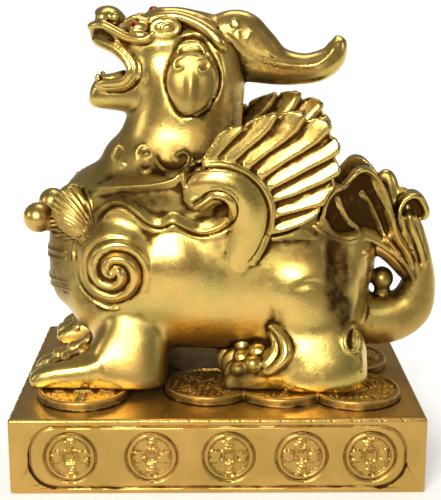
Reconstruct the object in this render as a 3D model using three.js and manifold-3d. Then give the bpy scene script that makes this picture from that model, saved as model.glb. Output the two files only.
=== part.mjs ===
// A desk-size cast brass pixiu: a winged, one-horned beast with an open mouth and a looped tail.
// It stands with its paws on large relief coins, which are cast on the top of a rectangular plinth.
// Units are millimetres. +Z is up, the beast faces -X and its left side faces -Y.
// The origin is the centre of the plinth's underside.
import * as THREE from 'three';
import { mergeVertices } from 'three/addons/utils/BufferGeometryUtils.js';
import Module from 'manifold-3d';

// Plinth
const plinthLength = 200;
const plinthDepth = 150;
const plinthHeight = 38;
const plinthBevel = 1.2;

// Engraved panel on each upright face of the plinth
const panelMargin = 3.6;
const panelEndMargin = 10;
const panelEndRound = 11;
const panelLineWidth = 1.2;
const panelLineDepth = 0.8;

// Roundels in the panel
const roundelRadius = 13;
const roundelLineWidth = 1.3;
const roundelRim = 1.9;
const roundelDepth = 1;
const roundelWindow = 4.6;
const roundelSides = 10;
const roundelPitch = 35.9;
const frontRoundels = 5;

// The front roundels were set out by eye: they start off centre and close up towards the tail.
const roundelShift = 5.2;
const roundelDrift = -1;

// Relief coins on the plinth's top
const coinRadius = 22.4;
const coinThickness = 4.5;
const coinRim = 2.4;
const coinSink = 1;
const coinWindow = 9;
const coinSides = 12;

// Figure
const figureHeight = 186;
const figureTurn = THREE.MathUtils.degToRad(-3);
const figureSetBack = 3;
const seatGap = 0.3;

// The figure keeps its pose and proportions as shares of its own height.
const unit = figureHeight / 186;

// Facets that stand off the skin by less than this are merged.
const facetSlack = 0.66;

// The coins lie under the paws, so their [x, y] places are in figure units.
const coinSpots = [[-67, -42], [-4, -35], [32, -38], [69, -42], [69, 6], [-62, 52], [44, 50]];

const wasm = await Module();
wasm.setup();

const acrossBody = new THREE.Vector3(0, 1, 0);
const alongBody = new THREE.Vector3(1, 0, 0);

// Joins and cuts

function toSolid(geometry) {
  const bare = geometry.clone();
  bare.deleteAttribute('normal');
  bare.deleteAttribute('uv');
  const merged = mergeVertices(bare, 1e-4);
  return new wasm.Manifold(new wasm.Mesh({
    numProp: 3,
    vertProperties: new Float32Array(merged.attributes.position.array),
    triVerts: new Uint32Array(merged.index.array),
  }));
}

function toGeometry(solid) {
  const mesh = solid.getMesh();
  const geometry = new THREE.BufferGeometry();
  geometry.setAttribute('position', new THREE.BufferAttribute(mesh.vertProperties, 3));
  geometry.setIndex(new THREE.BufferAttribute(mesh.triVerts, 1));
  geometry.computeVertexNormals();
  return geometry;
}

function join(solids) {
  return solids.reduce((sum, solid) => sum.add(solid));
}

// The outer skin of a solid, without the pinholes shut in where overlapping masses meet.
function outerSkin(solid) {
  const skins = solid.decompose();
  return skins.reduce((largest, skin) => (skin.volume() > largest.volume() ? skin : largest));
}

// Sections are closed rings of [across, along the normal] points, as shares of a limb's half sizes.

// An even ring, squarer than an ellipse where the power is above 2.
function roundSection(sides, power = 2) {
  const points = [];
  for (let index = 0; index < sides; index += 1) {
    const angle = (index / sides) * 2 * Math.PI;
    const [c, s] = [-Math.cos(angle), Math.sin(angle)];
    const reach = (Math.abs(c) ** power + Math.abs(s) ** power) ** (-1 / power);
    points.push([c * reach, s * reach]);
  }
  return () => points;
}

// A ring whose every other point is drawn in, for flutes.
function flutedSection(flutes, depth) {
  const points = roundSection(2 * flutes)();
  const scale = (index) => (index % 2 ? 1 - depth : 1);
  return () => points.map(([u, v], index) => [u * scale(index), v * scale(index)]);
}

// A paw is round at the heel and divides into four toes in front.
function pawSection(share) {
  const apart = THREE.MathUtils.smoothstep(share, 0.35, 0.75);
  const across = [1, 0.76, 0.52, 0.26, 0, -0.26, -0.52, -0.76, -1];
  const top = across.map((u, index) => {
    const crest = Math.sqrt(Math.max(0, 1 - 0.82 * u * u)) - (Math.abs(u) === 1 ? 0.42 : 0);
    const groove = index % 2 ? 0 : apart;
    return [u, -crest * (1 - 0.34 * groove)];
  });
  return [...top, [-0.6, 0.9], [0.6, 0.9]];
}

// A tapering limb: a sphere whose rings are laid along a smooth path.
// Each station is [x, y, z, half width, half height] in figure units. The half width lies along
// `sideways`, made square to the path, and the half height square to both.
function limb(stations, section, steps, sideways = acrossBody) {
  const path = new THREE.CatmullRomCurve3(
    stations.map(([x, y, z]) => new THREE.Vector3(x, y, z).multiplyScalar(unit)),
  );
  const girth = new THREE.CatmullRomCurve3(
    stations.map((station) => new THREE.Vector3(station[3], station[4], 0).multiplyScalar(unit)),
  );
  const sides = section(0).length;
  const geometry = new THREE.SphereGeometry(1, sides, steps);
  const position = geometry.attributes.position;
  for (let row = 0; row <= steps; row += 1) {
    const share = row / steps;
    const centre = path.getPoint(share);
    const size = girth.getPoint(share);
    const forward = path.getTangent(share);
    const side = sideways.clone().addScaledVector(forward, -sideways.dot(forward)).normalize();
    const up = new THREE.Vector3().crossVectors(forward, side);
    const ring = section(share);
    const open = row === 0 || row === steps ? 0 : 1;
    for (let column = 0; column <= sides; column += 1) {
      const [u, v] = ring[column % sides];
      const point = centre.clone();
      point.addScaledVector(side, u * size.x * open);
      point.addScaledVector(up, v * size.y * open);
      position.setXYZ(row * (sides + 1) + column, point.x, point.y, point.z);
    }
  }
  return toSolid(geometry);
}

// An ellipsoid boss at a place in figure units.
function boss([x, y, z], [rx, ry, rz], sides = 10, steps = 6) {
  const geometry = new THREE.SphereGeometry(1, sides, steps);
  geometry.rotateX(Math.PI / 2);
  geometry.scale(rx * unit, ry * unit, rz * unit);
  geometry.translate(x * unit, y * unit, z * unit);
  return toSolid(geometry);
}

// A slab cut to a side-view outline of [x, z] points, spanning the width between two y values.
function slab(outline, yLow, yHigh) {
  const shape = new THREE.Shape(outline.map(([x, z]) => new THREE.Vector2(x * unit, z * unit)));
  const geometry = new THREE.ExtrudeGeometry(shape, {
    depth: (yHigh - yLow) * unit,
    bevelEnabled: false,
  });
  geometry.rotateX(Math.PI / 2);
  geometry.translate(0, yHigh * unit, 0);
  return toSolid(geometry);
}

// Main masses

function trunk() {
  return limb([
    [-89, 0, 56, 7, 10],
    [-84, 0, 57, 21, 24.5],
    [-70, 0, 59.5, 34, 38.5],
    [-50, 0, 63, 42, 46],
    [-25, 0, 60.5, 45, 50],
    [0, 0, 59, 44.5, 50.5],
    [25, 0, 57.5, 43.5, 49],
    [48, 0, 55.5, 41, 44.5],
    [66, 0, 54.5, 34, 37],
    [77, 0, 51, 23, 27],
    [83, 0, 49, 10, 12],
  ], roundSection(14, 2.5), 10);
}

function neckAndSkull() {
  return limb([
    [-28, 0, 76, 22, 22],
    [-24, 0, 94, 32, 38],
    [-18.5, 0, 111, 28, 35],
    [-16.5, 0, 126, 24.5, 30],
    [-14, 0, 140, 24.5, 28],
    [-12.5, 0, 154, 23.5, 27],
    [-14, 0, 167, 18, 22],
    [-16, 0, 177, 10, 12],
    [-17, 0, 182, 4, 4],
  ], roundSection(10, 2.4), 8);
}

function upperJaw() {
  return join([
    limb([
      [-12, 0, 166, 15, 12],
      [-26, 0, 168.5, 17, 12],
      [-37, 0, 169, 15, 10.5],
      [-47, 0, 169, 12, 9.5],
      [-56, 0, 171, 11, 8],
      [-61.5, 0, 171, 9, 6],
      [-63.5, 0, 170.5, 6, 4],
    ], roundSection(8, 2.6), 6),
    boss([-54.5, 0, 179.3], [7.4, 8, 6.2], 8, 6),
  ]);
}

function lowerJaw() {
  return limb([
    [-18, 0, 141, 18, 12],
    [-32, 0, 142, 18, 13],
    [-44, 0, 142, 15, 10.5],
    [-54, 0, 141.5, 12, 8.5],
    [-61, 0, 141.7, 10, 7.5],
    [-65, 0, 142, 7, 5],
  ], roundSection(8, 2.6), 5);
}

// The open mouth goes right through from side to side, with a trough between the lower lips.
function gape() {
  return join([
    slab([
      [-75, 149], [-60, 149.3], [-52, 149.6], [-46, 151.8], [-42.3, 155.2],
      [-44.5, 158], [-52, 162], [-60.5, 165.3], [-75, 168],
    ], -34, 34),
    limb([[-62, 0, 151, 3, 2], [-57, 0, 150, 6.5, 4.5], [-48, 0, 151, 8, 5], [-40, 0, 154, 3, 2]], roundSection(6), 4),
  ]);
}

function horn() {
  return limb([
    [-12, 0, 164, 8, 12],
    [0, 0, 165.5, 10, 15.5],
    [10, 0, 165, 9.5, 18.5],
    [20, 0, 160.5, 9, 15],
    [31, 0, 155.5, 8.5, 10],
    [43, 0, 154, 8, 7.9],
    [52, 0, 155.5, 8, 7.7],
    [58.5, 0, 160, 7, 6.7],
    [61, 0, 167, 5.5, 4.5],
    [60, 0, 172.5, 3, 2.5],
  ], roundSection(8, 2.3), 10);
}

function crest() {
  return limb([
    [-38, 0, 173, 6, 5],
    [-31, 0, 178, 8, 6],
    [-24, 0, 178.5, 10, 6.5],
    [-12, 0, 176.5, 11, 7],
    [-1, 0, 172, 10, 8],
    [4, 0, 168, 7, 6],
  ], roundSection(8), 5);
}

// Paired parts, on the side whose y has the sign `side`

function ear(side) {
  return limb([
    [-10, 19 * side, 173, 5, 2.5],
    [-10, 21.4 * side, 166, 10.5, 4.8],
    [-10.5, 23.6 * side, 156, 13.3, 6],
    [-11.2, 24.8 * side, 147, 13, 6.2],
    [-12.4, 25 * side, 139, 9.5, 5.4],
    [-14, 25 * side, 132, 3.5, 3],
  ], roundSection(7), 6, alongBody);
}

function browAndEye(side) {
  return join([
    limb([
      [-32.5, 10 * side, 175.5, 2, 2],
      [-31, 9 * side, 179, 3.5, 3],
      [-25, 7 * side, 181, 5, 3.5],
      [-13, 7 * side, 179, 6, 4.5],
      [-2, 10 * side, 173, 6, 4.5],
      [6, 15 * side, 163, 3, 3],
    ], roundSection(5), 6),
    boss([-23, 12 * side, 176.3], [8, 5, 5.5], 8, 4),
    boss([-37.5, 10.5 * side, 175.3], [5.5, 4.5, 4], 6, 4),
  ]);
}

// The upper lip is a soft roll that curls round the corner of the mouth and along the lower lip.
function lips(side) {
  return limb([
    [-61, 6 * side, 174, 2.5, 2.5],
    [-57, 9.5 * side, 175, 3, 3],
    [-50, 11 * side, 173.5, 3, 3.5],
    [-43, 13 * side, 169, 3, 3],
    [-37.5, 15.5 * side, 164, 3, 2.5],
    [-36.5, 17 * side, 156, 3, 2.5],
    [-39.5, 16 * side, 148.5, 3, 2.5],
    [-47, 14 * side, 144.8, 2.5, 2],
    [-58, 11 * side, 143.5, 2, 1.8],
  ], roundSection(4), 9);
}

function frontLeg(side) {
  return join([
    boss([-47, 28 * side, 60], [24, 20.5, 26], 10, 6),
    limb([
      [-45, 26 * side, 60, 12, 15],
      [-44, 27 * side, 28, 12, 17.6],
      [-46, 30 * side, -4, 12, 20],
    ], roundSection(8), 3),
    limb([
      [-36.5, 26 * side, 36, 9, 9],
      [-37.6, 28.6 * side, 31, 12, 13],
      [-40, 32 * side, 23.5, 14, 17],
      [-43, 36 * side, 12, 14.8, 20.6],
      [-45, 37.6 * side, 4, 15.2, 22],
      [-46, 38 * side, -6, 15.2, 22],
    ], roundSection(10, 3), 5),
    limb([
      [-26, 37 * side, 1.5, 9, 5],
      [-36, 38 * side, 2.5, 14, 9],
      [-56, 36.5 * side, 4, 16, 16],
      [-72, 35.5 * side, 3, 17, 14.5],
      [-86, 35.5 * side, 1.6, 16, 9.5],
      [-94, 35.5 * side, 1.2, 12, 4],
    ], pawSection, 7),
  ]);
}

function hindLeg(side) {
  return join([
    boss([43, 25 * side, 50], [33, 21.8, 29], 10, 6),
    limb([
      [47, 27 * side, 48, 19, 26],
      [48, 29 * side, 32, 17, 24],
      [53, 32 * side, -4, 13, 21],
    ], roundSection(8), 3),
    limb([
      [56, 27 * side, 37, 11, 13],
      [53.6, 29 * side, 31.6, 13, 19],
      [51.8, 32.4 * side, 24, 14.2, 23.8],
      [52.4, 36 * side, 12, 14.8, 25],
      [53.5, 37.6 * side, 4, 15.2, 24.4],
      [53.5, 38 * side, -5, 15.2, 24],
    ], roundSection(10, 3), 5),
    limb([
      [78, 38 * side, 3, 7, 5],
      [68, 39 * side, 5, 12, 10],
      [50, 39 * side, 9, 14, 15],
      [33, 38 * side, 10, 15, 16.5],
      [19, 37 * side, 7.5, 16, 14],
      [7.5, 36 * side, 2.5, 10, 5],
    ], pawSection, 7),
    limb([
      [73, 33 * side, 13, 2, 2],
      [69, 38 * side, 16, 4, 4.5],
      [67, 40 * side, 23, 5, 5.5],
      [65, 38 * side, 30, 3, 3],
    ], roundSection(5), 4, alongBody),
  ]);
}

// The chest ends in a pair of round bosses, each with a fluted shell of hair behind it.
function chestBoss(side) {
  return join([
    boss([-90, 20 * side, 80], [7.8, 7.8, 7.8], 10, 6),
    limb([
      [-88, 20 * side, 79, 4, 4],
      [-80, 19 * side, 78, 5.5, 6],
      [-68, 16 * side, 76, 7, 8],
    ], roundSection(6), 3),
    limb([
      [-79, 25 * side, 95, 3, 2.5],
      [-76.5, 26 * side, 91, 9.5, 6.5],
      [-71, 27 * side, 83, 11, 8],
      [-65.5, 28 * side, 76, 7, 6],
      [-61, 29 * side, 70.5, 2.5, 2.5],
    ], flutedSection(6, 0.16), 4, alongBody),
  ]);
}

// Wing: a swollen shoulder from which a fan of feathers spreads behind
function wingRoot(side) {
  return join([
    boss([8, 34 * side, 86], [21.5, 12.5, 25.5], 10, 6),
    limb([
      [-66, 24 * side, 88, 5, 4],
      [-50, 30 * side, 91, 6, 9],
      [-30, 34 * side, 92, 6, 11],
      [-10, 36 * side, 94, 7, 12],
      [6, 36 * side, 94, 7, 10],
    ], roundSection(6), 4),
  ]);
}

// Tips of the feathers, from the neck down to the flank, as [x, z].
const featherTips = [
  [15, 130], [30.5, 136], [44.5, 137], [56, 131], [60.5, 122.5], [60.5, 110.5], [58.7, 99.5], [52, 89],
];
const fanCentre = [2, 92];
const featherLean = 0.12;

// The fan is swept from the first feather to the last: it is thick and long on each feather's
// spine, and thin and short in the groove between two feathers.
function feathers(side) {
  const tips = new THREE.CatmullRomCurve3(featherTips.map(([x, z]) => new THREE.Vector3(x, 0, z)));
  const last = featherTips.length - 1;
  const stations = [];
  for (let half = -1; half <= 2 * last + 1; half += 1) {
    const spine = half % 2 === 0;
    const tip = tips.getPoint(THREE.MathUtils.clamp(half / (2 * last), 0, 1));
    const reach = (spine ? 1 : 0.95) - (half < 0 || half > 2 * last ? 0.12 : 0);
    const middle = 0.66 * reach;
    stations.push([
      fanCentre[0] + (tip.x - fanCentre[0]) * middle + (half < 0 ? -4 : 0),
      (40.5 + featherLean * Math.max(0, tip.z - fanCentre[1]) * middle) * side,
      fanCentre[1] + (tip.z - fanCentre[1]) * middle - (half > 2 * last ? 4 : 0),
      Math.hypot(tip.x - fanCentre[0], tip.z - fanCentre[1]) * 0.35 * reach,
      spine ? 4.6 : 2.6,
    ]);
  }
  return fan(stations);
}

// Sweeps thin ellipses, long towards the fan's centre, through the stations.
function fan(stations) {
  const sides = 6;
  const steps = stations.length - 1;
  const geometry = new THREE.SphereGeometry(1, sides, steps);
  const position = geometry.attributes.position;
  stations.forEach(([x, y, z, long, thick], row) => {
    const outward = new THREE.Vector3(x - fanCentre[0], 0, z - fanCentre[1]).normalize();
    const open = row === 0 || row === steps ? 0 : 1;
    for (let column = 0; column <= sides; column += 1) {
      const angle = (column / sides) * 2 * Math.PI;
      const point = new THREE.Vector3(x, y, z);
      point.addScaledVector(outward, -Math.cos(angle) * long * open);
      point.y -= Math.sin(angle) * thick * open;
      point.multiplyScalar(unit);
      position.setXYZ(row * (sides + 1) + column, point.x, point.y, point.z);
    }
  });
  return toSolid(geometry);
}

// Tail: strands that rise from the rump, loop down behind and curl up again to a rolled tip
function tail() {
  const strands = [
    limb([
      [64, 0, 30, 12, 14],
      [78, 0, 23.6, 13, 13.6],
      [92, 0, 24.4, 12.5, 13.4],
      [102.5, 0, 31, 11, 12],
      [106.4, 0, 43, 10, 9],
      [106, 0, 54, 9, 7],
      [104, 0, 63, 8.6, 6.6],
      [100.8, 0, 72, 8, 6.6],
      [98.6, 0, 80, 7.8, 5.4],
      [100.6, 0, 87, 7.8, 3.6],
      [105, 0, 86.6, 7.6, 3.4],
      [108, 0, 82.4, 7.2, 2.8],
      [107.4, 0, 79, 6, 1.8],
    ], roundSection(8), 14),
    limb([
      [62, 0, 69, 14, 12],
      [74, 0, 68.4, 13, 9.6],
      [85, 0, 63.4, 11, 6.4],
      [95, 0, 55, 9, 5.4],
      [103, 0, 45, 7, 5],
    ], roundSection(6), 5),
    limb([[88.4, 0, 29, 5, 5], [87.6, 0, 35, 4.6, 4.6], [87, 0, 42, 4, 4]], roundSection(6), 3),
    boss([87, 0, 45], [6.1, 7, 6.1], 8, 6),
  ];
  for (const side of [-1, 1]) {
    strands.push(
      limb([
        [52, 28 * side, 84, 4, 5],
        [60, 25 * side, 85, 5, 12.5],
        [68, 20.6 * side, 87.5, 5, 17.5],
        [76, 15.6 * side, 87, 5, 18],
        [83, 11.5 * side, 81, 5, 15],
        [89, 8.5 * side, 72, 5, 10.5],
        [96, 6.3 * side, 61, 5, 7],
        [105, 4 * side, 45, 3, 3],
      ], roundSection(8), 9),
      limb([
        [97, 3 * side, 58, 5, 5],
        [92, 5 * side, 75, 6, 7],
        [88, 6 * side, 89, 6, 7],
        [88, 6 * side, 97, 4, 4.5],
        [88, 6 * side, 102, 1.5, 1.5],
      ], roundSection(5), 4),
    );
  }
  return join(strands);
}

// Relief on the skin of the main masses

function skinProbe(solid) {
  const material = new THREE.MeshBasicMaterial({ side: THREE.DoubleSide });
  const mesh = new THREE.Mesh(toGeometry(solid), material);
  const caster = new THREE.Raycaster();
  return (from, toward) => {
    caster.set(from.clone().multiplyScalar(unit), toward);
    const hits = caster.intersectObject(mesh);
    return hits.length > 0 ? hits[0].point.divideScalar(unit) : null;
  };
}

// A raised line on the side of the beast through [x, z] points, tapering at both ends.
function sideRidge(probe, points, radius, side, steps) {
  const line = new THREE.CatmullRomCurve3(points.map(([x, z]) => new THREE.Vector3(x, 0, z)));
  const stations = [];
  for (let step = 0; step <= steps; step += 1) {
    const spot = line.getPoint(step / steps);
    const hit = probe(new THREE.Vector3(spot.x, 120 * side, spot.z), new THREE.Vector3(0, -side, 0));
    if (hit) {
      stations.push([hit.x, hit.y, hit.z, radius, radius]);
    }
  }
  return limb(stations, roundSection(3), stations.length - 1, new THREE.Vector3(0, side, 0));
}

// A raised band across the chest at one height, between two mirrored edges.
function chestBand(probe, z, halfWidth, radius) {
  const stations = [];
  const steps = 6;
  for (let step = 0; step <= steps; step += 1) {
    const y = halfWidth * (1 - (2 * step) / steps);
    const hit = probe(new THREE.Vector3(-150, y, z), new THREE.Vector3(1, 0, 0));
    stations.push([hit.x + radius * 0.3, hit.y, hit.z, radius, radius]);
  }
  return limb(stations, roundSection(4), steps, new THREE.Vector3(0, 0, 1));
}

// Points of a spiral that winds inwards round a centre, in figure units.
function spiral([x, z], startRadius, endRadius, startTurn, turns) {
  const points = [];
  const steps = Math.round(Math.abs(turns) * 8);
  for (let step = 0; step <= steps; step += 1) {
    const share = step / steps;
    const angle = (startTurn + turns * share) * 2 * Math.PI;
    const radius = startRadius + (endRadius - startRadius) * share;
    points.push([x + radius * Math.cos(angle), z + radius * Math.sin(angle)]);
  }
  return points;
}

// The raised lines of one side: [points, radius, steps].
function reliefLines() {
  const wingRim = [
    [-11, 97], [-12.5, 101], [-9, 107.5], [0, 112], [11, 112], [21, 107.5], [28, 98], [29, 88], [27, 78],
    [23.5, 69],
  ];
  const wingHook = [
    [-10.5, 95], [-6.7, 92.7], [-1, 94.5], [4.5, 94.3], [7.5, 88], [4.5, 82], [-5.9, 77.5], [-13, 79.5],
    [-20, 83], [-27, 80.5], [-33, 84.5], [-40, 91], [-46, 92.4], [-52, 90], [-59, 84.7],
  ];
  const plateEdge = [[-70, 69], [-69, 57], [-66, 49], [-60, 43], [-52, 39.5], [-44, 41]];
  return [
    [wingRim, 2.5, 9],
    [wingHook, 2.4, 12],
    [plateEdge, 1.8, 4],
    [spiral([-48.5, 59.5], 17.5, 3, 0.94, 1.9), 3, 12],
  ];
}

function pixiuSolid() {
  const middle = join([trunk(), neckAndSkull(), upperJaw(), lowerJaw(), horn(), crest()]);
  const flank = (side) => join([frontLeg(side), hindLeg(side), wingRoot(side), chestBoss(side)]);
  const core = join([middle, flank(-1), flank(1)]);
  const probe = skinProbe(core);
  const parts = [core, tail()];
  for (const side of [-1, 1]) {
    parts.push(ear(side), browAndEye(side), lips(side), feathers(side));
    for (const [points, radius, steps] of reliefLines()) {
      parts.push(sideRidge(probe, points, radius, side, steps));
    }
  }
  for (const height of [60, 45]) {
    parts.push(chestBand(probe, height, 24, 1.5));
  }
  const pockets = [-1, 1].map((side) => boss([1.5, 47 * side, 86.5], [5, 4, 5], 8, 4));
  const reach = 200;
  const belowSoles = slab([[-reach, -reach], [reach, -reach], [reach, 0], [-reach, 0]], -reach, reach);
  const figure = join(parts).subtract(join([gape(), ...pockets, belowSoles]));
  return outerSkin(figure.simplify(facetSlack));
}

// Plinth

const outwards = 1;

function plinthBlock() {
  const halfLength = plinthLength / 2 - plinthBevel;
  const halfDepth = plinthDepth / 2 - plinthBevel;
  const outline = [
    new THREE.Vector2(-halfLength, -halfDepth),
    new THREE.Vector2(halfLength, -halfDepth),
    new THREE.Vector2(halfLength, halfDepth),
    new THREE.Vector2(-halfLength, halfDepth),
  ];
  const geometry = new THREE.ExtrudeGeometry(new THREE.Shape(outline), {
    depth: plinthHeight - 2 * plinthBevel,
    bevelThickness: plinthBevel,
    bevelSize: plinthBevel,
    bevelSegments: 1,
  });
  geometry.translate(0, 0, plinthBevel);
  return toSolid(geometry);
}

// A ring or, with no inner radius, a disc about the Z axis.
function ring(inner, outer, low, high, sides) {
  const profile = [[inner, low], [outer, low], [outer, high], [inner, high]];
  if (inner > 0) {
    profile.push([inner, low]);
  }
  const geometry = new THREE.LatheGeometry(profile.map(([x, y]) => new THREE.Vector2(x, y)), sides);
  geometry.rotateX(Math.PI / 2);
  return geometry;
}

function block(width, height, low, high) {
  const geometry = new THREE.BoxGeometry(width, height, high - low);
  geometry.translate(0, 0, (low + high) / 2);
  return geometry;
}

// A coin lies flat with its face up: a raised rim, a sunk field and a raised square frame.
function coin() {
  const field = coinRadius - coinRim;
  const disc = toSolid(ring(0, coinRadius, -1, coinThickness, coinSides));
  const sunk = toSolid(ring(0, field, coinThickness - coinSink, coinThickness + 1, coinSides));
  const frameLow = coinThickness - coinSink - 0.5;
  const frameHigh = coinThickness - 0.2 * coinSink;
  const frame = toSolid(block(coinWindow, coinWindow, frameLow, frameHigh));
  return disc.subtract(sunk).add(frame);
}

// The outline of a panel with rounded ends, set in by `inset` from its groove's outer edge.
function panelOutline(faceLength, inset) {
  const halfHeight = plinthHeight / 2 - panelMargin - inset;
  const halfLength = faceLength / 2 - panelEndMargin - inset;
  const round = panelEndRound - inset;
  const path = new THREE.Path();
  path.absellipse(halfLength - round, 0, round, halfHeight, -Math.PI / 2, Math.PI / 2, false, 0);
  path.absellipse(round - halfLength, 0, round, halfHeight, Math.PI / 2, 1.5 * Math.PI, false, 0);
  return path.getPoints(3);
}

function panelGroove(faceLength) {
  const shape = new THREE.Shape(panelOutline(faceLength, 0));
  shape.holes.push(new THREE.Path(panelOutline(faceLength, panelLineWidth)));
  const geometry = new THREE.ExtrudeGeometry(shape, {
    depth: panelLineDepth + outwards,
    bevelEnabled: false,
  });
  geometry.translate(0, 0, -panelLineDepth);
  return geometry;
}

// A roundel is a coin seen face on: a groove round a flat rim and a sunk field.
function roundelCuts() {
  const rimOuter = roundelRadius - roundelLineWidth;
  const field = rimOuter - roundelRim;
  return [
    ring(rimOuter, roundelRadius, -roundelDepth, outwards, roundelSides),
    ring(0, field, -roundelDepth, outwards, roundelSides),
  ];
}

// Turns a geometry drawn on a face, with Z outwards, onto one upright side of the plinth.
function onFace(geometry, along, faceDistance, turn) {
  const placed = geometry.clone();
  placed.rotateX(Math.PI / 2);
  placed.translate(along, -faceDistance, plinthHeight / 2);
  placed.rotateZ(turn);
  return toSolid(placed);
}

function roundelPlace(index) {
  const step = index - (frontRoundels - 1) / 2;
  return roundelShift + roundelPitch * step + roundelDrift * step * step;
}

function plinthSolid() {
  const faceDistance = plinthDepth / 2;
  const endDistance = plinthLength / 2;
  const quarterTurn = Math.PI / 2;
  const cuts = [
    onFace(panelGroove(plinthLength), 0, faceDistance, 0),
    onFace(panelGroove(plinthDepth), 0, endDistance, quarterTurn),
    onFace(panelGroove(plinthLength), 0, faceDistance, 2 * quarterTurn),
    onFace(panelGroove(plinthDepth), 0, endDistance, 3 * quarterTurn),
  ];
  const raised = [];
  for (let index = 0; index < frontRoundels; index += 1) {
    const along = roundelPlace(index);
    for (const cut of roundelCuts()) {
      cuts.push(onFace(cut, along, faceDistance, 0));
    }
    const frame = block(roundelWindow, roundelWindow, -roundelDepth - 0.5, -0.2 * roundelDepth);
    raised.push(onFace(frame, along, faceDistance, 0));
  }
  const relief = coin();
  for (const [x, y] of coinSpots) {
    raised.push(relief.translate([x * unit, y * unit, plinthHeight]));
  }
  return join([plinthBlock().subtract(join(cuts)), ...raised]);
}

// Assembly

const castBrass = new THREE.MeshStandardMaterial({ color: 0xc8a550, roughness: 0.28, metalness: 1 });
const satinBrass = new THREE.MeshStandardMaterial({ color: 0xb8954a, roughness: 0.4, metalness: 1 });

const pixiu = new THREE.Mesh(toGeometry(pixiuSolid()), castBrass);
pixiu.name = 'pixiu';
pixiu.position.set(0, figureSetBack, plinthHeight + coinThickness + seatGap);
pixiu.rotation.z = figureTurn;

const plinth = new THREE.Mesh(toGeometry(plinthSolid()), satinBrass);
plinth.name = 'plinth';

const statue = new THREE.Group();
statue.add(plinth, pixiu);

export default statue;
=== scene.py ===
import math

import bpy
import numpy as np
from mathutils import Matrix, Vector
from mathutils.bvhtree import BVHTree


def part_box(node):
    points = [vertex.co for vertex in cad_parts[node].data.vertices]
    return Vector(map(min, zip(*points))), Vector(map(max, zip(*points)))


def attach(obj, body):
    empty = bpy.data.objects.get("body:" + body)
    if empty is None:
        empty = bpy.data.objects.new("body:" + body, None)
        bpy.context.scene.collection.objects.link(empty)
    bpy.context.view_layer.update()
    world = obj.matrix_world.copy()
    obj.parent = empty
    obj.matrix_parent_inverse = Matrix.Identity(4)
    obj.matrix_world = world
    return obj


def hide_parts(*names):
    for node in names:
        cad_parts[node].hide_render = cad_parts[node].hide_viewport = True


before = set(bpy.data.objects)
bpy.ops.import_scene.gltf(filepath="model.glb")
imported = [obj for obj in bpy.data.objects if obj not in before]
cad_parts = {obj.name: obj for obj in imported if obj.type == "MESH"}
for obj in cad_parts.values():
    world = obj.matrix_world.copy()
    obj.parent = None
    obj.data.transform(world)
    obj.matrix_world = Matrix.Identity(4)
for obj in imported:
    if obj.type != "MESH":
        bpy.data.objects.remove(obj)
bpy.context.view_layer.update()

MM = 0.001


# Studio: white paper without edges in a grey room, with one soft box over the camera, one at each
# side and one above. The brass mirrors it all, so walls and paper are uneven to give it its darks.

CAMERA_PLACE = (-3.2, -586.0, 245.2)
CAMERA_PITCH = 13.67
CAMERA_YAW = -0.5
FOCAL_IN_PIXELS = 1150
PICTURE_HEIGHT = 500
SENSOR = 36.0

bpy.ops.object.select_all(action="DESELECT")
bpy.ops.object.camera_add(
    location=Vector(CAMERA_PLACE) * MM,
    rotation=(math.radians(90 - CAMERA_PITCH), 0, math.radians(CAMERA_YAW)),
)
camera = bpy.context.object
camera.data.sensor_width = SENSOR
camera.data.lens = SENSOR * FOCAL_IN_PIXELS / PICTURE_HEIGHT
camera.data.clip_start = 0.01
camera.data.clip_end = 50
bpy.context.scene.camera = camera

scene = bpy.context.scene
scene.view_settings.view_transform = "Standard"
scene.view_settings.look = "None"
scene.view_settings.exposure = 0.0


def linear(hex_colour):
    """The linear RGBA of an sRGB hex colour."""
    values = [int(hex_colour[i:i + 2], 16) / 255 for i in (1, 3, 5)]
    return [v / 12.92 if v <= 0.04045 else ((v + 0.055) / 1.055) ** 2.4 for v in values] + [1.0]


def add_node(tree, kind, links=None, **settings):
    """Adds a node; settings are its properties, or its inputs by name; links are inputs to wire."""
    node = tree.nodes.new(kind)
    for name, value in settings.items():
        if hasattr(node, name):
            setattr(node, name, value)
        else:
            node.inputs[name.replace("_", " ")].default_value = value
    for name, source in (links or {}).items():
        tree.links.new(source, node.inputs[name])
    return node


def soft_box(name, place, target, width, height, power, colour):
    """A lamp behind a white cloth, turned to its target."""
    place = Vector(place)
    aim = (Vector(target) - place).to_track_quat("-Z", "Y").to_euler()
    bpy.ops.object.light_add(type="AREA", location=place, rotation=aim)
    light = bpy.context.object
    light.name = name
    light.data.shape = "RECTANGLE"
    light.data.size = width
    light.data.size_y = height
    light.data.energy = power
    light.data.color = linear(colour)[:3]


soft_box("box_over_camera", (-0.32, -1.1, 0.64), (0, 0, 0.12), 0.5, 0.4, 15.2, "#FFFBF2")
soft_box("box_left", (-1.15, -0.3, 0.5), (0, 0, 0.12), 0.25, 0.4, 1.1, "#FFFFFF")
soft_box("box_right", (1.1, -0.5, 0.6), (0, 0, 0.12), 0.2, 0.45, 1.2, "#FFFFFF")
soft_box("box_above", (0.1, 0.3, 1.2), (0, 0, 0.1), 0.7, 0.5, 3.0, "#FFFFFF")

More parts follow.
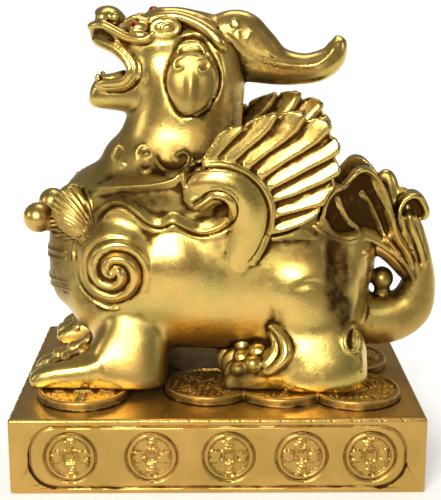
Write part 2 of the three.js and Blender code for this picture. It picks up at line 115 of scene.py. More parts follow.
world = bpy.data.worlds.new("room")
scene.world = world
world.use_nodes = True
room = world.node_tree
room.nodes.clear()
direction = add_node(room, "ShaderNodeTexCoord")
split = add_node(room, "ShaderNodeSeparateXYZ", {"Vector": direction.outputs["Generated"]})
ahead = add_node(
    room, "ShaderNodeMapRange", {"Value": split.outputs["Y"]}, interpolation_type="SMOOTHSTEP",
    From_Min=-0.95, From_Max=-0.35,
)
clutter = add_node(
    room, "ShaderNodeTexNoise", {"Vector": direction.outputs["Generated"]}, Scale=2.2, Detail=2.0,
)
wall = add_node(
    room, "ShaderNodeMapRange", {"Value": clutter.outputs["Fac"]}, From_Min=0.35, From_Max=0.65,
    To_Min=0.55, To_Max=1.35,
)
level = add_node(
    room, "ShaderNodeMapRange", {"Value": split.outputs["Z"]}, interpolation_type="SMOOTHSTEP",
    From_Min=-0.32, From_Max=-0.04,
)
front_tone = add_node(
    room, "ShaderNodeMix", {"Factor": level.outputs["Result"]}, data_type="RGBA", A=linear("#9A968C"),
    B=linear("#7F7B73"),
)
room_tone = add_node(
    room, "ShaderNodeMix", {"Factor": ahead.outputs["Result"], "A": front_tone.outputs["Result"]},
    data_type="RGBA", B=linear("#86847E"),
)
glow = add_node(
    room, "ShaderNodeBackground",
    {"Color": room_tone.outputs["Result"], "Strength": wall.outputs["Result"]},
)
add_node(room, "ShaderNodeOutputWorld", {"Surface": glow.outputs["Background"]})

PAPER_FRONT = -0.45
PAPER_SIZE = 60.0
bpy.ops.mesh.primitive_plane_add(size=PAPER_SIZE, location=(0, PAPER_FRONT + PAPER_SIZE / 2, -0.0002))
floor = bpy.context.object
floor.name = "floor"
bpy.ops.object.transform_apply()
paper = bpy.data.materials.new("white_backdrop_paper")
paper.use_nodes = True
shader = paper.node_tree.nodes["Principled BSDF"]
shader.inputs["Roughness"].default_value = 0.9
grain = add_node(paper.node_tree, "ShaderNodeTexNoise", Scale=40.0, Detail=2.0)
tone = add_node(
    paper.node_tree, "ShaderNodeMix", {"Factor": grain.outputs["Fac"]}, data_type="RGBA",
    A=linear("#E8E8E8"), B=linear("#EFEFEF"),
)
paper.node_tree.links.new(tone.outputs["Result"], shader.inputs["Base Color"])
shader.inputs["Emission Color"].default_value = (1, 1, 1, 1)
spot = add_node(paper.node_tree, "ShaderNodeTexCoord")
away = add_node(paper.node_tree, "ShaderNodeSeparateXYZ", {"Vector": spot.outputs["Object"]})
backlight = add_node(
    paper.node_tree, "ShaderNodeMapRange", {"Value": away.outputs["Y"]}, interpolation_type="SMOOTHSTEP",
    From_Min=-0.12, From_Max=0.32, To_Min=0.26, To_Max=0.85,
)
paper.node_tree.links.new(backlight.outputs["Result"], shader.inputs["Emission Strength"])
floor.data.materials.append(paper)


# Figure: a winged beast, head back and mouth open, cast in brass as one hollow piece over a core,
# then filed and polished. Its stations are in millimetres from the middle of its soles, and it
# stands turned a little on the plinth.

FIGURE_TURN = math.radians(-3)
FIGURE_BACK = 3.0
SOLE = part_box("pixiu")[0].z / MM
SIDES = (-1, 1)


def smooth_path(stations, count):
    """A Catmull-Rom curve through the stations, as count rows of all their columns."""
    knots = np.array(stations, float)
    ends = np.vstack([2 * knots[0] - knots[1], knots, 2 * knots[-1] - knots[-2]])
    share = np.linspace(0, len(knots) - 1, count)
    index = np.minimum(share.astype(int), len(knots) - 2)
    t = (share - index)[:, None]
    a, b, c, d = (ends[index + k] for k in range(4))
    return 0.5 * (2 * b + (c - a) * t + (2 * a - 5 * b + 4 * c - d) * t**2 + (3 * b - a - 3 * c + d) * t**3)


def read(items, what, width=3, kind=float):
    """One property of all points, normals or edges, as rows of numbers."""
    values = np.empty(len(items) * width, kind)
    items.foreach_get(what, values)
    return values.reshape(-1, width)


END_FULLNESS = math.sin(math.pi / 12)


def limb(stations, hand=1, around=20, along=28, sideways=(0, 1, 0), power=2.0):
    """A sphere whose rings are laid along a smooth path of [x, y, z, half width, half height].

    A row of four has no y: it lies in the middle plane."""
    bpy.ops.mesh.primitive_uv_sphere_add(segments=around, ring_count=along, radius=1)
    piece = bpy.context.object
    sphere = read(piece.data.vertices, "co")
    row = np.rint(np.arccos(np.clip(-sphere[:, 2], -1, 1)) / math.pi * along).astype(int)
    turn = np.arctan2(sphere[:, 1], sphere[:, 0])
    path = smooth_path([row if len(row) == 5 else [row[0], 0, *row[1:]] for row in stations], along + 1)
    path[:, 1] *= hand
    forward = np.gradient(path[:, :3], axis=0)
    forward /= np.linalg.norm(forward, axis=1, keepdims=True)
    side = np.array(sideways, float) - forward * (forward @ np.array(sideways, float))[:, None]
    side /= np.linalg.norm(side, axis=1, keepdims=True)
    up = np.cross(forward, side)
    close = np.sqrt(np.clip(np.sin(np.pi * np.arange(along + 1) / along) / END_FULLNESS, 0, 1))
    reach = (np.abs(np.cos(turn)) ** power + np.abs(np.sin(turn)) ** power) ** (-1 / power) * close[row]
    place = path[row, :3]
    place = place + side[row] * (path[row, 3] * reach * np.cos(turn))[:, None]
    place = place + up[row] * (path[row, 4] * reach * np.sin(turn))[:, None]
    piece.data.vertices.foreach_set("co", place.ravel())
    piece.data.update()
    return piece


def ball(place, radii, around=24):
    """An ellipsoid boss."""
    bpy.ops.mesh.primitive_uv_sphere_add(segments=around, ring_count=around // 2, location=place)
    piece = bpy.context.object
    piece.scale = radii
    bpy.ops.object.transform_apply()
    return piece


def select(*pieces):
    """Selects these pieces alone, with the first one active."""
    bpy.ops.object.select_all(action="DESELECT")
    for piece in pieces:
        piece.select_set(True)
    bpy.context.view_layer.objects.active = pieces[0]


def apply_modifier(piece, kind, **settings):
    select(piece)
    modifier = piece.modifiers.new(kind, kind)
    for name, value in settings.items():
        setattr(modifier, name, value)
    bpy.ops.object.modifier_apply(modifier=modifier.name)


def fuse(pieces, voxel, rounds, name):
    """Melts overlapping pieces into one skin and softens the seams between them."""
    select(*pieces)
    bpy.ops.object.join()
    whole = bpy.context.object
    whole.name = whole.data.name = name
    apply_modifier(whole, "REMESH", mode="VOXEL", voxel_size=voxel, adaptivity=0)
    apply_modifier(whole, "SMOOTH", factor=0.5, iterations=rounds)
    return whole


def thin_out(piece, triangles):
    """Leaves about this many triangles, most of them where the form bends."""
    apply_modifier(piece, "DECIMATE", ratio=min(1.0, triangles / (2 * len(piece.data.polygons))))


def cut(piece, cutter):
    apply_modifier(piece, "BOOLEAN", operation="DIFFERENCE", solver="EXACT", object=cutter)
    bpy.data.objects.remove(cutter)


def slab(rows):
    """A closed outline in the side view, whose rows are x, z and the y it lies between there."""
    count = len(rows)
    points = [(x, low, z) for x, z, low, _ in rows] + [(x, high, z) for x, z, _, high in rows]
    faces = [tuple(range(count))[::-1], tuple(range(count, 2 * count))]
    faces += [(i, (i + 1) % count, (i + 1) % count + count, i + count) for i in range(count)]
    mesh = bpy.data.meshes.new("slab")
    mesh.from_pydata(points, [], faces)
    piece = bpy.data.objects.new("slab", mesh)
    bpy.context.collection.objects.link(piece)
    select(piece)
    bpy.ops.object.mode_set(mode="EDIT")
    bpy.ops.mesh.select_all(action="SELECT")
    bpy.ops.mesh.normals_make_consistent(inside=False)
    bpy.ops.object.mode_set(mode="OBJECT")
    return piece


def plate(outline, half):
    """A slab of one thickness across the middle plane."""
    return slab([[x, z, -half, half] for x, z in outline])


SOLE_DEPTH = 4.0
FRONT_EDGE = [[-50, 19], [-57, 16], [-63, 13.8], [-69, 12.8], [-77, 11.6], [-84, 9.8], [-88, 7], [-90.8, 3]]


def toe(crest, y, width, back=0, rise=0):
    """A toe under a crest line of [x, z], deep enough to pass below the sole."""
    return limb([
        [x + back, y, (z + rise - SOLE_DEPTH) / 2, width, (z + rise + SOLE_DEPTH) / 2] for x, z in crest
    ], around=24, along=8 * len(crest), power=2.5)


# Main masses, which run into each other in soft hollows
masses = [
    limb([
        [-89, 56, 7, 10], [-84, 56, 21, 24], [-70, 57, 34, 36], [-50, 54, 42, 38.5],
        [-25, 51.5, 44.2, 41.5], [-6, 50.6, 44, 41.5], [12, 49.6, 42.6, 41], [28, 49, 42.6, 40.4],
        [48, 49, 41, 38.5], [66, 50, 34, 33], [77, 50, 24, 26], [83, 49, 10, 12],
    ], around=48, along=60, power=2.6),
    limb([
        [-84, 66, 18, 20], [-70, 68, 31, 30], [-50, 72, 38, 36.5], [-25, 72, 39.6, 38], [0, 71, 39, 38],
        [25, 69, 38.6, 37], [48, 66, 36, 33], [66, 62, 29, 28], [77, 58, 16, 18],
    ], around=48, along=60, power=2.3),
    limb([
        [-28, 76, 22, 22], [-24, 94, 32, 38], [-18.5, 111, 28, 35], [-16.5, 126, 24.5, 30],
        [-14, 140, 24.5, 28], [-12.5, 154, 23.5, 27], [-14, 167, 18, 22], [-16, 177, 10, 12],
        [-17, 182, 4, 4],
    ], around=48, along=50, power=2.3),
    limb([[60, 32, 12, 14], [78, 23.6, 13, 13.4], [92, 24.2, 12.5, 12.8], [101, 30.6, 11, 11.6]]),
]
for s in SIDES:
    masses += [
        ball((-47, 28 * s, 60), (24, 20.5, 26), 32),
        ball((44, 25 * s, 47), (31, 20.6, 27), 32),
        ball((-19, 24 * s, 56), (30, 22.2, 31), 32),
        ball((4, 31 * s, 70), (24, 10.4, 20), 32),
        ball((-26.6, 10 * s, 151), (15.4, 11.6, 21), 32),
        ball((-39, 9 * s, 165), (9, 6.6, 7), 32),
        limb([
            [-66, 24.5, 88, 5, 5], [-50, 31, 91, 6.6, 10], [-30, 35, 92, 7, 12.4], [-10, 37, 94, 7, 13],
            [6, 37, 94, 7, 11],
        ], hand=s, around=28, power=3.6),
        limb([
            [-45, 26, 60, 12, 15], [-44, 26.4, 42, 12, 17], [-44, 27, 28, 12, 17.6], [-45, 29, 12, 12, 20],
            [-46, 30, 0, 12, 20],
        ], hand=s, around=32, power=2.6),
        limb([
            [-36.5, 26, 36, 9, 9], [-37.6, 28.6, 31, 12, 13], [-39.6, 31, 26, 13.6, 16],
            [-41, 33.8, 19, 14.2, 18.4], [-43, 36, 12, 14.8, 20.6], [-45, 37.6, 4, 15.4, 22],
            [-46, 38, -8, 15.4, 22],
        ], hand=s, around=32, power=3.0),
        limb([
            [47, 27, 48, 19, 26], [48, 29, 32, 17, 24], [52, 31, 12, 14, 22], [53, 32, 0, 13, 21],
        ], hand=s, around=32),
        limb([
            [56, 27, 37, 11, 13], [53.6, 29, 31.6, 13, 19], [51.6, 31.6, 26, 14, 23.4],
            [52, 34, 19, 14.4, 24.8], [52.4, 36, 12, 14.8, 25], [53.5, 37.6, 4, 15.4, 24.4],
            [53.5, 38, -8, 15.4, 24],
        ], hand=s, around=32, power=3.0),
    ]
core = fuse(masses, 2.2, 16, "core")

masses = [
    core,
    limb([
        [-12, 166, 15, 12], [-26, 168.5, 17, 12], [-37, 169, 15, 10.5], [-47, 169, 12.5, 9],
        [-56, 170.5, 11.5, 7.5], [-61.5, 170.7, 9.5, 6], [-63.8, 170.2, 6.5, 4.5],
    ], around=28, along=28, power=2.6),
    limb([
        [-18, 141, 18, 12], [-32, 142, 18, 13], [-44, 142, 15, 10.5], [-54, 141.3, 12, 8.3],
        [-61, 141.5, 10, 7.5], [-65, 142.3, 8, 5.6],
    ], around=28, along=28, power=2.8),
]
for s in SIDES:
    masses += [
        limb([
            [-32, 38, 2, 12, 8], [-44, 38.2, 4, 13.6, 13], [-56, 38, 5, 13.6, 14],
            [-66, 38.2, 3.4, 13.4, 11.8], [-76, 38.5, 1, 12.8, 9.2], [-85, 38.5, -1, 11.4, 6],
            [-90, 38.5, -1.5, 9.6, 3.6],
        ], hand=s, around=28, power=2.6),
        limb([
            [76, 38, 3, 8, 6], [66, 38, 4, 12, 9], [52, 37.4, 6, 13, 13], [38, 38, 9.5, 12.8, 15],
            [27, 38.2, 5.8, 12, 10.4], [17, 38, 0, 9, 5],
        ], hand=s, around=28, power=2.6),
        toe(FRONT_EDGE, 46.6 * s, 6.2),
        limb([
            [-10.5, 38.5, 96.5, 5, 2.5], [-6.5, 39, 101.5, 6.6, 6.5], [1, 39.4, 103.6, 7.6, 8.4],
            [10, 39.4, 101.4, 8, 9.2], [16.8, 39, 94, 8, 9.6], [18.4, 38.5, 84, 7.6, 9.8],
            [16.5, 38, 73, 7, 9.6], [12, 37, 62, 6, 8], [8, 35, 54, 4, 5],
        ], hand=s, around=28, along=60),
    ]
body = fuse(masses, 1.1, 7, "body")
cut(body, plate([
    [-80, 149], [-62, 150], [-52, 150.3], [-45.5, 151.6], [-42.4, 154.6], [-43.8, 157], [-49, 160.3],
    [-61, 165.7], [-80, 171],
], 34))

# Nose, lips, gums, eyes and brow
face = [
    limb([[-60.6, 178.6, 5.5, 3.6], [-57, 179.9, 8.4, 5.1], [-52.5, 179.4, 8.2, 5.2], [-47.5, 175.5, 6, 4]]),
    limb([
        [-38, 173, 6, 5], [-31, 178.2, 8, 5.5], [-24, 178.4, 10, 6.1], [-12, 176.2, 11, 7],
        [-1, 172, 10, 8], [4, 168, 7, 6],
    ]),
    limb([[-62.5, 149, 7, 1.1], [-54, 149.8, 8.5, 1.4], [-46, 151.5, 8, 2]], power=3),
    ball((-31.8, 0, 182.9), (2.5, 2.8, 2.1)),
]
for s in SIDES:
    face += [
        ball((-56.6, 6.2 * s, 179.2), (3.9, 3.4, 4)),
        ball((-50.4, 7.2 * s, 179.6), (2.5, 2.1, 2.6)),
        limb([
            [-63, 2.5, 173.6, 2, 2.2], [-61.8, 6.5, 175, 2.3, 2.5], [-57, 9.4, 176.2, 2.2, 2.3],
            [-52.4, 10.6, 174.7, 2.2, 2.2], [-47.6, 12, 172.3, 2.3, 2.2], [-42.6, 13.6, 170.2, 2.4, 2.1],
            [-37, 15.2, 169.2, 2.4, 2], [-32.8, 15.8, 170.4, 2.2, 1.8], [-30.2, 15.4, 173.4, 1.6, 1.5],
        ], hand=s, along=44),
        limb([
            [-62.2, 7.6, 169, 1.7, 2.6], [-51, 11.4, 165.2, 1.9, 3], [-44.6, 14, 160.6, 1.9, 3.1],
            [-41.2, 15.8, 155, 1.9, 3], [-43.6, 15.2, 149.4, 1.9, 2.8], [-50, 13.2, 147.2, 1.9, 2.8],
            [-61.5, 9.6, 146.7, 1.7, 2.8],
        ], hand=s, around=28, along=56, power=4),
        ball((-59.4, 8.6 * s, 150.2), (1.5, 1.3, 1.8)),
        ball((-37.6, 12 * s, 174.8), (5.4, 3.6, 3.4)),
        limb([
            [-46, 11.6, 177, 0.9, 0.9], [-42.6, 12.2, 179.2, 1.3, 1.1], [-39, 12.6, 180.2, 1.5, 1.2],
            [-35.4, 13.4, 179.2, 1.3, 1.1], [-32.4, 14.2, 178.8, 0.9, 0.9],
        ], hand=s),
        limb([
            [-42.6, 14, 173.8, 0.7, 0.6], [-38, 15.4, 172.2, 1, 0.8], [-33, 15.8, 172.2, 0.8, 0.7],
        ], hand=s),
        limb([
            [-33.4, 12.8, 174.4, 1.4, 1.4], [-32.4, 12, 178, 2.2, 2], [-28.5, 10.8, 180.2, 3.2, 2.3],
            [-20, 10.8, 180.6, 3.8, 2.7], [-12, 11.8, 178.4, 4.2, 3], [-5, 13.6, 174.9, 4.2, 3.2],
            [1, 16, 170, 4, 3.2], [5.6, 17.6, 163, 3, 3],
        ], hand=s, around=28, along=44),
        limb([
            [-31.6, 4.6, 180.6, 1.8, 1.4], [-27.5, 5, 182.4, 2.6, 1.8], [-18, 5.4, 182.2, 3, 2],
            [-8, 6, 179.6, 3, 2], [1, 7, 175, 2.6, 1.8],
        ], hand=s, along=32),
        ball((-24.6, 13.4 * s, 174.8), (8, 4.4, 4.9)),
    ]

# Ears: leaves that hang from a cupped top, on the sides of the skull
ears = [limb([
    [-11.2, 19.6, 169, 5.2, 3], [-11.1, 21.4, 165, 8.2, 4.6], [-11, 23, 160, 11.2, 5.4],
    [-11, 24.2, 153, 13.3, 5.6], [-11, 24.8, 146.5, 13, 5.8], [-11.3, 25, 140, 10.6, 5.4],
    [-12.3, 25, 135.2, 6.4, 4.4], [-13.2, 24.8, 132.4, 2.6, 2.4],
], hand=s, around=44, along=44, sideways=(1, 0, 0), power=2.4) for s in SIDES]

# Horn: one thick blade of a horn that leaves the back of the skull and turns up at its tip
horn = [limb([
    [-12, 164, 8, 12], [0, 165.5, 10, 15.5], [10, 165, 9.5, 18.3], [20, 160.5, 9, 14.6],
    [31, 155.5, 8.5, 9.8], [43, 154, 8, 7.8], [52, 155.5, 8, 7.6], [58.5, 160, 7, 6.6],
    [61, 166.5, 5.5, 4.6], [60.4, 171, 3.4, 3],
], around=36, along=48, power=2.3)]

# Wings: a fan of eight feathers behind each shoulder, leaning outwards, each lapping the one below
FAN_FOOT, FAN_INSIDE, FAN_OUTSIDE = 92, 37.5, 43.2
FAN = [
    [-5.4, 113.8], [-0.6, 121.1], [3, 126.8], [8, 130.2], [11.4, 131], [13.8, 130.8], [15.2, 128.8],
    [15.9, 131.7], [18.9, 133.8], [23.6, 135.7], [28.3, 136.9], [30.6, 136.6], [31.7, 135], [33, 137.3],
    [37.7, 138.1], [41.8, 137.5], [43.8, 136.1], [44.7, 133.2], [47.9, 134.7], [51.2, 134.6], [53.9, 133.1],
    [55.8, 130.6], [55.6, 128], [56.5, 126], [59, 124.9], [60.3, 122.3], [59.9, 119.2], [58.4, 116],
    [59.5, 114.2], [60.6, 111.5], [60.3, 108.7], [58.1, 105.3], [58.4, 103.5], [58.6, 101.3], [57.3, 99],
    [55.2, 96.2], [53.3, 93.2], [51.8, 90.6], [51.9, 89.2], [48.9, 86], [44.2, 82.7], [36.2, 79.3],
    [28.7, 77.6], [20, 78], [13, 90], [3, 103],
]
FEATHER_GROOVES = [
    [[-5.4, 113.8], [-0.6, 121.1], [6.7, 129.5], [13, 134]],
    [[1.8, 113.4], [5.4, 118.5], [15.2, 128.8]],
    [[11.5, 113], [17, 118.6], [23.7, 124.1], [28.4, 128.9], [31.5, 135.4]],
    [[19.4, 110.7], [27.2, 117.3], [35.2, 122.8], [41.3, 127.6], [44.5, 133.1]],
    [[26.2, 105.5], [35.4, 112.5], [43.5, 117.4], [51.5, 122.6], [56, 127]],
    [[28.5, 99.2], [38.5, 104.4], [49, 110.4], [55.8, 113.9], [58.9, 115.9]],
    [[29.3, 93], [38.7, 95.7], [46.5, 99.1], [53.9, 102.5], [57.9, 104.9]],
    [[29.7, 85], [38.8, 87.5], [46.7, 89.6], [52.1, 90.6]],
    [[28.7, 76.6], [36.2, 78.6], [44.2, 82], [49.5, 85.6], [53, 89]],
]


def fan_lean(height):
    """How far outwards a feather stands at this height."""
    return 0.12 * np.maximum(height - FAN_FOOT, 0)


wings = [
    slab([[x, z, s * (FAN_INSIDE + fan_lean(z)), s * (FAN_OUTSIDE + fan_lean(z))] for x, z in FAN])
    for s in SIDES
]

# Paws: toes side by side that step down to the sole in knuckles, each with a claw, and on the hind
# foot a double cuff of skin behind the toes
FRONT_CREST = [
    [-56, 20], [-63.6, 18.2], [-68, 16.2], [-71, 13.4], [-75.4, 12], [-78.4, 9.6], [-82.6, 8.6],
    [-86.4, 7.4], [-89.4, 4.8], [-91.2, 1.8],
]
FRONT_KNUCKLES = [[-65.6, 16], [-73.6, 11.6], [-81.2, 8]]
HIND_TOES = [
    [[18, 24, 20.4], [11, 24, 16.6]], [[22.4, 31, 20.4], [14.6, 31, 17]],
    [[22.6, 38.4, 16.4], [14.4, 38.4, 13.4]], [[20.4, 45, 12], [13, 45, 9]],
]

paws = []
for s in SIDES:
    for y, back, rise in ((38.6, 0, 0), (30, 1.4, 2.6), (22.6, 2.6, 0.8)):
        paws += [
            toe(FRONT_CREST, y * s, 4.6, back, rise),
            limb([
                [-86.6 + back, y * s, 5.6 + 0.6 * rise, 1.5, 1.5],
                [-91 + back, y * s, 3.8 + 0.6 * rise, 1.8, 2], [-92.2 + back, y * s, 0.6, 1.4, 1.4],
            ], around=14, along=16),
        ]
        paws += [ball((x + back, y * s, z + rise), (3.3, 4.5, 3.4)) for x, z in FRONT_KNUCKLES]
    for (x, y, z), (tip_x, tip_y, tip_z) in HIND_TOES:
        paws += [
            ball((x, y * s, z), (5, 4.8, 4.5)), ball((tip_x, tip_y * s, tip_z), (4.8, 4.6, 4.1)),
            toe([
                [x + 10, z + 1], [x, z], [tip_x, tip_z], [tip_x - 3, tip_z - 3], [tip_x - 4.4, 1.6],
            ], y * s, 3.8),
            limb([
                [tip_x - 3, tip_y * s, tip_z - 2, 1.3, 1.3],
                [tip_x - 4.8, tip_y * s, tip_z - 4.6, 1.6, 1.7], [tip_x - 5.4, tip_y * s, 1, 1.2, 1.2],
            ], around=14, along=16),
        ]
    paws += [
        limb([
            [26, 36, 31, 2, 2], [32, 42, 28.4, 2.8, 2.6], [35.8, 46.6, 23.4, 3.2, 3],
            [36, 49.4, 17.4, 3.2, 3], [31, 50.4, 11.8, 2.8, 2.6], [24, 50, 8, 2, 1.8],
        ], hand=s, along=40),
        limb([
            [28.4, 38.6, 27.6, 2, 2], [31.4, 43, 22.6, 2.5, 2.5], [29.8, 46.8, 16.6, 2.4, 2.4],
            [24.4, 48.6, 11.6, 1.8, 1.8],
        ], hand=s, along=32),
    ]

# Chest: a pair of round knobs, each with a shell of combed hair behind it
chest = []
for s in SIDES:
    chest += [
        ball((-90, 20 * s, 80.2), (7.8, 7.8, 7.8), 32),
        limb([[-88, 20, 79, 5, 5], [-80, 19.5, 78, 5.5, 6], [-68, 17, 76, 7, 8]], hand=s),
        limb([
            [-78, 25, 95.5, 3, 2.5], [-75, 26, 92, 8.5, 5.6], [-70.5, 27.5, 84, 10.6, 7.6],
            [-65.5, 29.6, 76.5, 7.6, 6.2], [-61.5, 31, 70.5, 3, 3],
        ], hand=s, around=48, along=36, sideways=(1, 0, 0)),
        limb([[-78, 21, 92.5, 2, 2], [-74, 20, 95.4, 2.4, 2.2], [-69, 19, 96, 1.8, 1.8]], hand=s),
    ]

# Tail: a thick loop leaves the rump low and turns up behind. A scooped leaf of hair lies against
# each side of the rump, a lock stands between them, and one strand closes the loop from above.
LEAF = [
    [59.4, 97.5], [63.3, 98.6], [66.1, 101.5], [69.3, 105.5], [72.6, 107.2], [76.5, 106.7], [80, 103.9],
    [83.5, 99.9], [86.4, 94.8], [88.9, 89.1], [90.8, 82.2], [92.6, 75.9], [95.8, 68.9], [100.6, 61],
    [105, 51], [107, 44], [103, 43], [98.5, 52], [93, 59.6], [87, 64.6], [80, 68.6], [72, 70.4], [64, 70],
    [56, 74], [52, 82], [54, 90],
]
LEAF_OUT = [[50, 34], [60, 30], [70, 24.5], [80, 18], [90, 13], [100, 10], [107, 8]]
tail = [
    limb([
        [64, 30, 12, 14], [78, 23.4, 13, 13.6], [92, 24, 12.5, 13.2], [102.2, 30.6, 11, 11.8],
        [106.2, 43, 10, 8.8], [106, 54, 9, 7], [104, 63, 8.6, 6.6], [100.8, 72, 8, 6.6],
        [98.6, 78.5, 7.5, 5.6], [98, 82.4, 6.8, 3.6],
    ], around=32, along=70, power=2.4),
    limb([
        [94.4, 74, 6.5, 1.4], [94.2, 80, 7.4, 1.8], [95.4, 85.8, 7.8, 1.9], [98.2, 89.2, 7.8, 1.9],
        [101.8, 90.2, 7.6, 1.9], [105, 88.6, 7.4, 1.9], [107.3, 84.8, 7.2, 1.9], [108.5, 80.8, 6.8, 1.9],
        [107, 78.6, 6.4, 1.7], [105, 79.4, 5.6, 1.2],
    ], around=24, along=60, power=3),
    plate([[95, 76], [96, 86], [99, 88.6], [103, 88.4], [106, 85], [107.6, 80.6], [104, 77]], 2.4),
    limb([
        [66, 68, 14, 12], [74, 68.4, 13, 9.6], [82, 65, 12, 6.6], [89, 60.6, 10.5, 5.6], [96, 54, 9, 5.4],
        [103, 45, 7, 5],
    ], around=28),
    limb([[88.4, 29, 5, 5], [87.6, 35, 4.6, 4.6], [87, 42, 4, 4]]),
    ball((87, 0, 45), (6.1, 7, 6.1)),
    limb([
        [84.4, 6, 94, 3, 3], [87.6, 6.5, 98.6, 3.6, 3.4], [90, 6.5, 95, 4.6, 4.2], [92, 6, 86, 5, 4.4],
        [96, 4, 74, 5, 4],
    ], along=32),
    limb([[95, 3.5, 88, 2.4, 2.4], [96.6, 4, 91, 2.6, 2.4], [97.6, 3.5, 87, 3, 2.6], [98, 2, 80, 3, 3]]),
]
for s in SIDES:
    out = [np.interp(x, *np.array(LEAF_OUT).T) for x, _ in LEAF]
    tail.append(slab([[x, z, s * max(o - 10, 1), s * o] for (x, z), o in zip(LEAF, out)]))
    tail += [ball((74.4, 22 * s, 63), (3.7, 3.6, 3.7)), ball((70.4, 23.4 * s, 70), (2.6, 2.4, 2.8))]

figure = fuse([body] + face + ears + horn + wings + paws + chest + tail, 0.62, 2, "pixiu_skin")
cut(figure, plate([[-200, -60], [200, -60], [200, 0], [-200, 0]], 200))


# Relief on the skin: each line or area is worked in the side view, on both sides alike. Its numbers are
# width and height, or height and soft edge, then the least and most distance from the middle plane,
# the share that fades out at each end of a line, and how far the skin has to look sideways.

def distance_to_line(x, z, line):
    """Distance of each point to a line of [x, z] rows, its share along it, and its side."""
    best = np.full(len(x), 1e9)
    share = np.zeros(len(x))
    hand = np.zeros(len(x))
    steps = len(line) - 1
    for k in range(steps):
        a, b = line[k], line[k + 1]
        ab = b - a
        t = np.clip(((x - a[0]) * ab[0] + (z - a[1]) * ab[1]) / (ab @ ab + 1e-12), 0, 1)
        dx, dz = x - a[0] - t * ab[0], z - a[1] - t * ab[1]
        d = np.hypot(dx, dz)
        near = d < best
        best = np.where(near, d, best)
        share = np.where(near, (k + t) / steps, share)
        hand = np.where(near, np.sign(ab[0] * dz - ab[1] * dx), hand)
    return best, share, hand


def soft_step(value):
    value = np.clip(value, 0, 1)
    return value * value * (3 - 2 * value)


def offset(line, reach):
    """The line moved sideways, to its left as it runs."""
    line = smooth_path(line, 6 * len(line))
    way = np.gradient(line, axis=0)
    way /= np.linalg.norm(way, axis=1, keepdims=True) + 1e-9
    return line + reach * np.stack([-way[:, 1], way[:, 0]], 1)


class Skin:
    """A piece's points, and the tools that raise or sink them along their normals."""

    def __init__(self, piece):
        self.mesh = piece.data
        self.count = len(self.mesh.vertices)
        self.points = read(self.mesh.vertices, "co")
        self.normals = read(self.mesh.vertex_normals, "vector")

    def beside(self, low, high, facing=0.2):
        """Points between two distances from the middle plane, that look sideways."""
        out = np.abs(self.points[:, 1])
        look = self.normals[:, 1] * np.sign(self.points[:, 1])
        return (out > low) & (out < high) & (look > facing)

    def near(self, line, reach, low, high, facing):
        """Which of those points lie in the box round a line in the side view, and their x and z."""
        x, z = self.points[:, 0], self.points[:, 2]
        boxed = (x > line[:, 0].min() - reach) & (x < line[:, 0].max() + reach)
        boxed &= (z > line[:, 1].min() - reach) & (z < line[:, 1].max() + reach)
        chosen = np.flatnonzero(boxed & self.beside(low, high, facing))
        return chosen, x[chosen], z[chosen]

    def lift(self, chosen, height):
        self.points[chosen] += self.normals[chosen] * height[:, None]

    def line(self, stations, width, height, low, high, taper=0.12, facing=0.2):
        """Raises a rounded line, or sinks one where the height is negative."""
        line = smooth_path(stations, min(8 * len(stations), 160))
        chosen, x, z = self.near(line, width, low, high, facing)
        d, share, _ = distance_to_line(x, z, line)
        fade = soft_step(np.minimum(share, 1 - share) / taper) if taper else 1
        bump = np.where(d < width, 0.5 + 0.5 * np.cos(np.pi * np.minimum(d / width, 1)), 0)
        self.lift(chosen, height * fade * bump)

    def area(self, outline, height, edge, low, high, facing=0.2):
        """Raises or sinks all that lies inside a closed outline, with a soft edge."""
        ring = smooth_path(outline + [outline[0]], 6 * len(outline))
        chosen, x, z = self.near(ring, edge, low, high, facing)
        d, _, _ = distance_to_line(x, z, ring)
        inside = np.zeros(len(x), bool)
        for a, b in zip(ring[:-1], ring[1:]):
            crosses = (a[1] > z) != (b[1] > z)
            reach = a[0] + (z - a[1]) * (b[0] - a[0]) / (b[1] - a[1] + 1e-9)
            inside ^= crosses & (x < reach)
        signed = np.where(inside, d, -d)
        self.lift(chosen, height * soft_step(0.5 + signed / (2 * edge)))

    def write(self):
        self.mesh.vertices.foreach_set("co", self.points.ravel())
        self.mesh.update()
        self.normals = read(self.mesh.vertex_normals, "vector")


skin = Skin(figure)

# Wing root: a rolled scroll with a bead and a fine line round its rim, and a panel before it
RIM = [
    [-12.5, 100.5], [-12.6, 103], [-10.7, 106.6], [-6.5, 109.3], [0.1, 110.6], [7.3, 110.3], [14.5, 107.7],
    [19.9, 103.8], [24.1, 98.3], [26.9, 91], [26.9, 83], [24.9, 75.6], [21.3, 68], [17, 62],
]
BAND = [
    [-60, 83.5], [-56.8, 86.3], [-53.1, 89.9], [-48.2, 92.1], [-42.7, 91.5], [-36.7, 87.6], [-30.7, 83],
    [-25.9, 81.8], [-19.2, 84], [-13.2, 81], [-8.4, 78.9], [-3.5, 78.6], [2.5, 80.5], [7.4, 84.3],
    [9.5, 89.2], [8.6, 93.5], [5, 96.4], [0.2, 96.6], [-4.1, 93.6], [-7.6, 91.2], [-9.5, 89.5],
]
PANEL_TOP = [[-64.6, 96.2], [-56.6, 98], [-39.4, 100], [-30.2, 101], [-21, 102.9], [-14.9, 105.6], [-11, 109]]
skin.area([
    [-58, 94.6], [-45, 97.6], [-33, 98.8], [-21, 101], [-15, 103.4], [-14.4, 99], [-13, 93.6], [-10, 90],
    [-5.6, 88.6], [-2, 90.4], [1.4, 92.4], [5, 90.4], [5, 86.2], [1.4, 83.2], [-4, 81.8], [-8.4, 82],
    [-12.8, 84], [-19.2, 86.8], [-25.6, 84.8], [-30, 86], [-35.6, 90.6], [-41.8, 94.4], [-48.6, 95],
    [-54, 93.6],
], -1.8, 1.3, 20, 52, 0.0)
